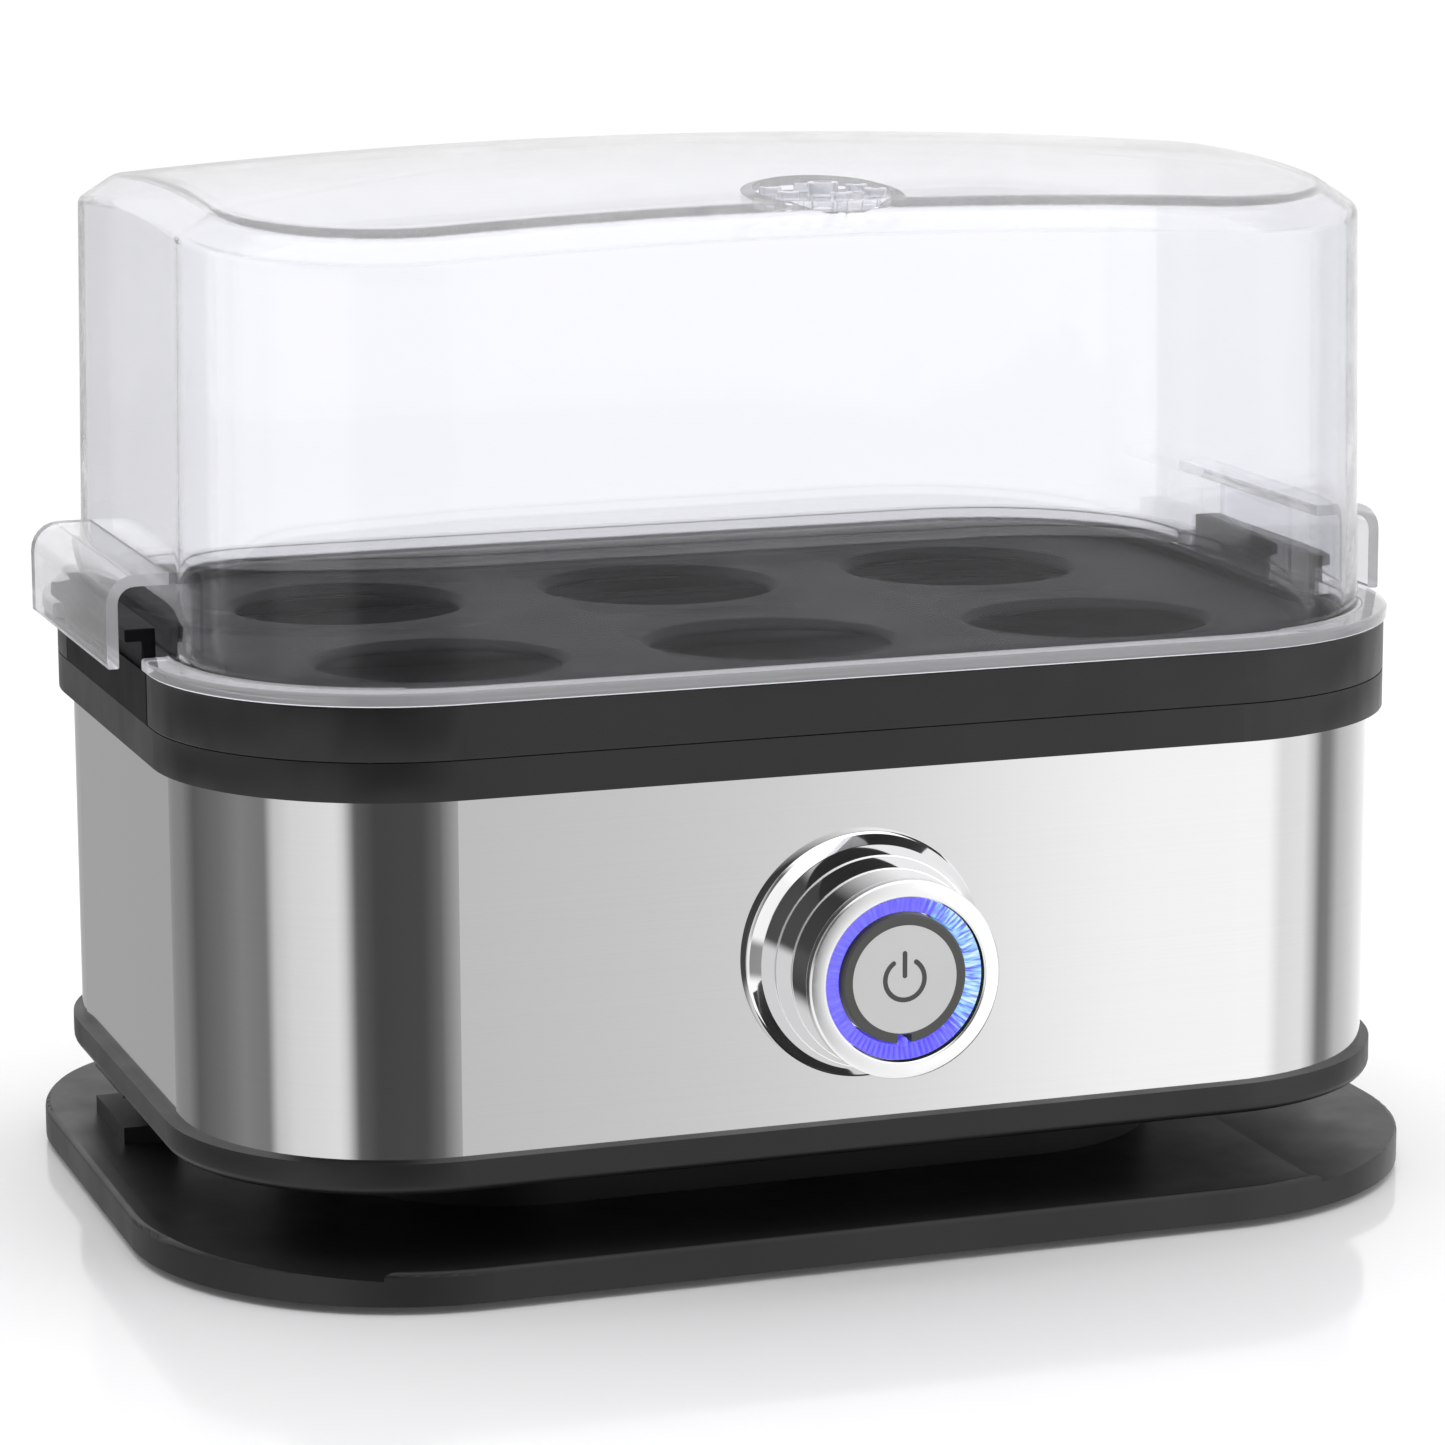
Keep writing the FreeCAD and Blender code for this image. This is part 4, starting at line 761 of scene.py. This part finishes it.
def make_lid():
    """The hollow lid with its two ears, and a round vent with short tubes near the front."""
    lid = mesh_object("lid_clear", lid_outside)
    hollow = mesh_object("lid_hollow", lid_inside)
    for side in (1, -1):
        combine(lid, "DIFFERENCE", mesh_object("tool", ear_room(side)))
        combine(lid, "UNION", mesh_object("tool", ear_band(side)))
    floor_z = VENT_SEAT - WALL
    tubes = [(0.0, VENT_Y, MIDDLE_TUBE_RADIUS, MIDDLE_TUBE_TOP)]
    for angle in circle(VENT_TUBES):
        angle += math.radians(30)
        x, y = TUBE_CIRCLE * math.cos(angle), VENT_Y + TUBE_CIRCLE * math.sin(angle)
        tubes.append((x, y, TUBE_RADIUS, TUBE_TOP))
    seat = stem(0.0, VENT_Y, VENT_RADIUS, floor_z, VENT_SEAT)
    recess = stem(0.0, VENT_Y, VENT_RADIUS, VENT_SEAT, VENT_CUT_TOP)
    cup = stem(0.0, VENT_Y, VENT_RADIUS + WALL, floor_z, VENT_CUT_TOP)
    rises = [stem(x, y, radius, floor_z + 0.3, top_z, TUBE_EDGE) for x, y, radius, top_z in tubes]
    bores = [
        stem(x, y, radius - TUBE_WALL, VENT_BORE_FOOT, top_z + 1.0) for x, y, radius, top_z in tubes
    ]
    combine(lid, "UNION", mesh_object("tool", uprights([seat])))
    combine(lid, "DIFFERENCE", mesh_object("tool", uprights([recess])))
    combine(hollow, "DIFFERENCE", mesh_object("tool", uprights([cup])))
    combine(lid, "DIFFERENCE", hollow)
    combine(lid, "UNION", mesh_object("tool", uprights(rises)))
    combine(lid, "DIFFERENCE", mesh_object("tool", uprights(bores, BORE_SIDES)))
    lid.data.materials.clear()
    lid.data.materials.append(CLEAR.material)
    lid.data.materials.append(CLEAR_EDGE.material)
    for polygon in lid.data.polygons:
        polygon.material_index = 1 if scatters(polygon.center) else 0
        polygon.use_smooth = True
    lid.data.set_sharp_from_angle(angle=LID_SHARP_EDGE)
    declare(lid, "lid", "lid")


make_lid()


# ---------------------------------------------------------------- floor
HALF_FLOOR = 12.0
FLOOR_DROP = 0.0001
SWEEP_FROM, SWEEP_TO = 0.22, 0.75
BACKGROUND = 1.02

floor_mesh = bpy.data.meshes.new("floor")
floor_mesh.from_pydata([
    (-HALF_FLOOR, -HALF_FLOOR, 0), (HALF_FLOOR, -HALF_FLOOR, 0),
    (HALF_FLOOR, HALF_FLOOR, 0), (-HALF_FLOOR, HALF_FLOOR, 0),
], [], [(0, 1, 2, 3)])
floor = bpy.data.objects.new("floor", floor_mesh)
bpy.context.scene.collection.objects.link(floor)
floor.location.z = -FLOOR_DROP
floor.visible_glossy = False


def floor_finish():
    """A pale glossy table that fades into a white sweep a little way out from the object."""
    finish = Finish("pale_gloss_floor", (0.90, 0.90, 0.91), 0.10, Specular_IOR_Level=0.30)
    finish.gloss(finish.noise(9.0, 2.0), 0.08, 0.12)
    distance = finish.add("ShaderNodeVectorMath", operation="LENGTH")
    finish.links.new(finish.place(), distance.inputs[0])
    fade = finish.add("ShaderNodeMapRange", interpolation_type="SMOOTHSTEP")
    fade.inputs["From Min"].default_value = SWEEP_FROM
    fade.inputs["From Max"].default_value = SWEEP_TO
    finish.links.new(distance.outputs["Value"], fade.inputs["Value"])
    sweep = finish.add("ShaderNodeEmission")
    sweep.inputs["Strength"].default_value = BACKGROUND
    both = finish.add("ShaderNodeMixShader")
    finish.links.new(fade.outputs["Result"], both.inputs["Fac"])
    finish.links.new(finish.shader.outputs["BSDF"], both.inputs[1])
    finish.links.new(sweep.outputs["Emission"], both.inputs[2])
    output = next(n for n in finish.nodes if n.type == "OUTPUT_MATERIAL")
    finish.links.new(both.outputs["Shader"], output.inputs["Surface"])
    return finish


floor_mesh.materials.append(floor_finish().material)


# ---------------------------------------------------------------- studio: soft panels
# Brightness of the studio by azimuth in degrees: 0 is in front of the object, 90 at its right.
STUDIO = (
    (-180, 0.48), (-167, 0.47), (-160, 0.33), (-146, 0.30), (-134, 0.15), (-112, 0.23),
    (-98, 0.32), (-83, 0.27), (-78, 0.80), (-68, 0.99), (-45, 1.10), (-41, 0.92), (-35, 0.16),
    (-25, 0.085), (-2, 0.095), (7, 0.20), (12, 0.56), (16, 0.80), (19, 0.89), (21, 1.04),
    (24, 1.42), (44, 1.42), (52, 1.10), (68, 1.16), (75, 0.77), (81, 0.27), (88, 0.30),
    (98, 0.70), (125, 1.02), (150, 1.14), (165, 0.84), (180, 0.48),
)
# The same for what lies above the horizon.
STUDIO_HIGH = (
    (-180, 1.00), (-110, 0.90), (-80, 1.00), (-66, 0.12), (-12, 0.06), (2, 0.60), (14, 1.00),
    (24, 1.40), (60, 1.30), (100, 1.10), (180, 1.00),
)
LOW = 1.05
OVERHEAD = 1.35
# Where one band gives way to the next, in degrees above the horizon.
LOW_ENDS, HIGH_STARTS, OVERHEAD_STARTS = (-26, -18), (-2, 6), (45, 62)
# A ramp's colours stop at 1, so levels are stored as shares of this.
BRIGHTEST = 2.0


def build_world():
    """A world as bright as the studio in each direction, and plain white to the camera."""
    world = bpy.data.worlds.new("studio")
    bpy.context.scene.world = world
    world.use_nodes = True
    nodes, links = world.node_tree.nodes, world.node_tree.links
    background = next(n for n in nodes if n.type == "BACKGROUND")
    calc = partial(calculate, world.node_tree)

    direction = nodes.new("ShaderNodeTexCoord")
    split = nodes.new("ShaderNodeSeparateXYZ")
    links.new(direction.outputs["Generated"], split.inputs["Vector"])
    azimuth = calc("ARCTAN2", split.outputs["X"], calc("MULTIPLY", split.outputs["Y"], -1.0))
    turn = calc("ADD", calc("DIVIDE", azimuth, 2 * math.pi), 0.5)

    def round_the_studio(panels):
        ramp = nodes.new("ShaderNodeValToRGB")
        ramp.color_ramp.interpolation = "LINEAR"
        stops = ramp.color_ramp.elements
        while len(stops) < len(panels):
            stops.new(0.5)
        for stop, (angle, level) in zip(stops, panels):
            stop.position = (angle + 180) / 360
            share = level / BRIGHTEST
            stop.color = (share, share, share, 1.0)
        links.new(turn, ramp.inputs["Fac"])
        return calc("MULTIPLY", ramp.outputs["Color"], BRIGHTEST)

    def above(angles, below, higher):
        """below under the first angle, and higher over the second."""
        rise = nodes.new("ShaderNodeMapRange")
        rise.interpolation_type = "SMOOTHSTEP"
        rise.inputs["From Min"].default_value = math.sin(math.radians(angles[0]))
        rise.inputs["From Max"].default_value = math.sin(math.radians(angles[1]))
        links.new(split.outputs["Z"], rise.inputs["Value"])
        share = rise.outputs["Result"]
        upper = calc("MULTIPLY", higher, share)
        return calc("ADD", upper, calc("MULTIPLY", below, calc("SUBTRACT", 1.0, share)))

    level = above(LOW_ENDS, LOW, round_the_studio(STUDIO))
    level = above(HIGH_STARTS, level, round_the_studio(STUDIO_HIGH))
    level = above(OVERHEAD_STARTS, level, OVERHEAD)
    path = nodes.new("ShaderNodeLightPath")
    by_camera = path.outputs["Is Camera Ray"]
    seen = calc("MULTIPLY", by_camera, BACKGROUND)
    unseen = calc("MULTIPLY", level, calc("SUBTRACT", 1.0, by_camera))
    links.new(calc("ADD", seen, unseen), background.inputs["Strength"])
    background.inputs["Color"].default_value = (1.0, 1.0, 1.0, 1.0)


build_world()


SOFTBOX_PLACE = Vector((0.0, 0.1, 1.9))
SOFTBOX_SIZE = 2.6
SOFTBOX_POWER = 16.0

softbox = bpy.data.lights.new("overhead_softbox", "AREA")
softbox.shape = "RECTANGLE"
softbox.size = softbox.size_y = SOFTBOX_SIZE
softbox.energy = SOFTBOX_POWER
lamp = bpy.data.objects.new("overhead_softbox", softbox)
bpy.context.scene.collection.objects.link(lamp)
lamp.location = SOFTBOX_PLACE
lamp.rotation_euler = (-SOFTBOX_PLACE).to_track_quat("-Z", "Y").to_euler()
lamp.visible_glossy = False


# ---------------------------------------------------------------- camera
CAMERA_AZIMUTH = math.radians(-18.98)
CAMERA_ELEVATION = math.radians(10.89)
CAMERA_ROLL = math.radians(-0.25)
CAMERA_DISTANCE = 0.815
CAMERA_SHIFT = (0.0073, -0.0181)
TARGET = Vector((0.0, MIDDLE_Y, 0.07485))

camera_data = bpy.data.cameras.new("camera")
camera_data.sensor_width = 36.0
camera_data.lens = 124.8
camera_data.shift_x, camera_data.shift_y = CAMERA_SHIFT
camera_data.clip_start = 0.01
camera_data.clip_end = 60.0
camera = bpy.data.objects.new("camera", camera_data)
bpy.context.scene.collection.objects.link(camera)
away = Vector((
    math.cos(CAMERA_ELEVATION) * math.sin(CAMERA_AZIMUTH),
    -math.cos(CAMERA_ELEVATION) * math.cos(CAMERA_AZIMUTH),
    math.sin(CAMERA_ELEVATION),
))
camera.location = TARGET + away * CAMERA_DISTANCE
aim = (-away).to_track_quat("-Z", "Y").to_matrix()
camera.rotation_euler = (aim @ Matrix.Rotation(CAMERA_ROLL, 3, "Z")).to_euler()
bpy.context.scene.camera = camera
bpy.context.scene.view_settings.view_transform = "Standard"


bpy.context.view_layer.update()
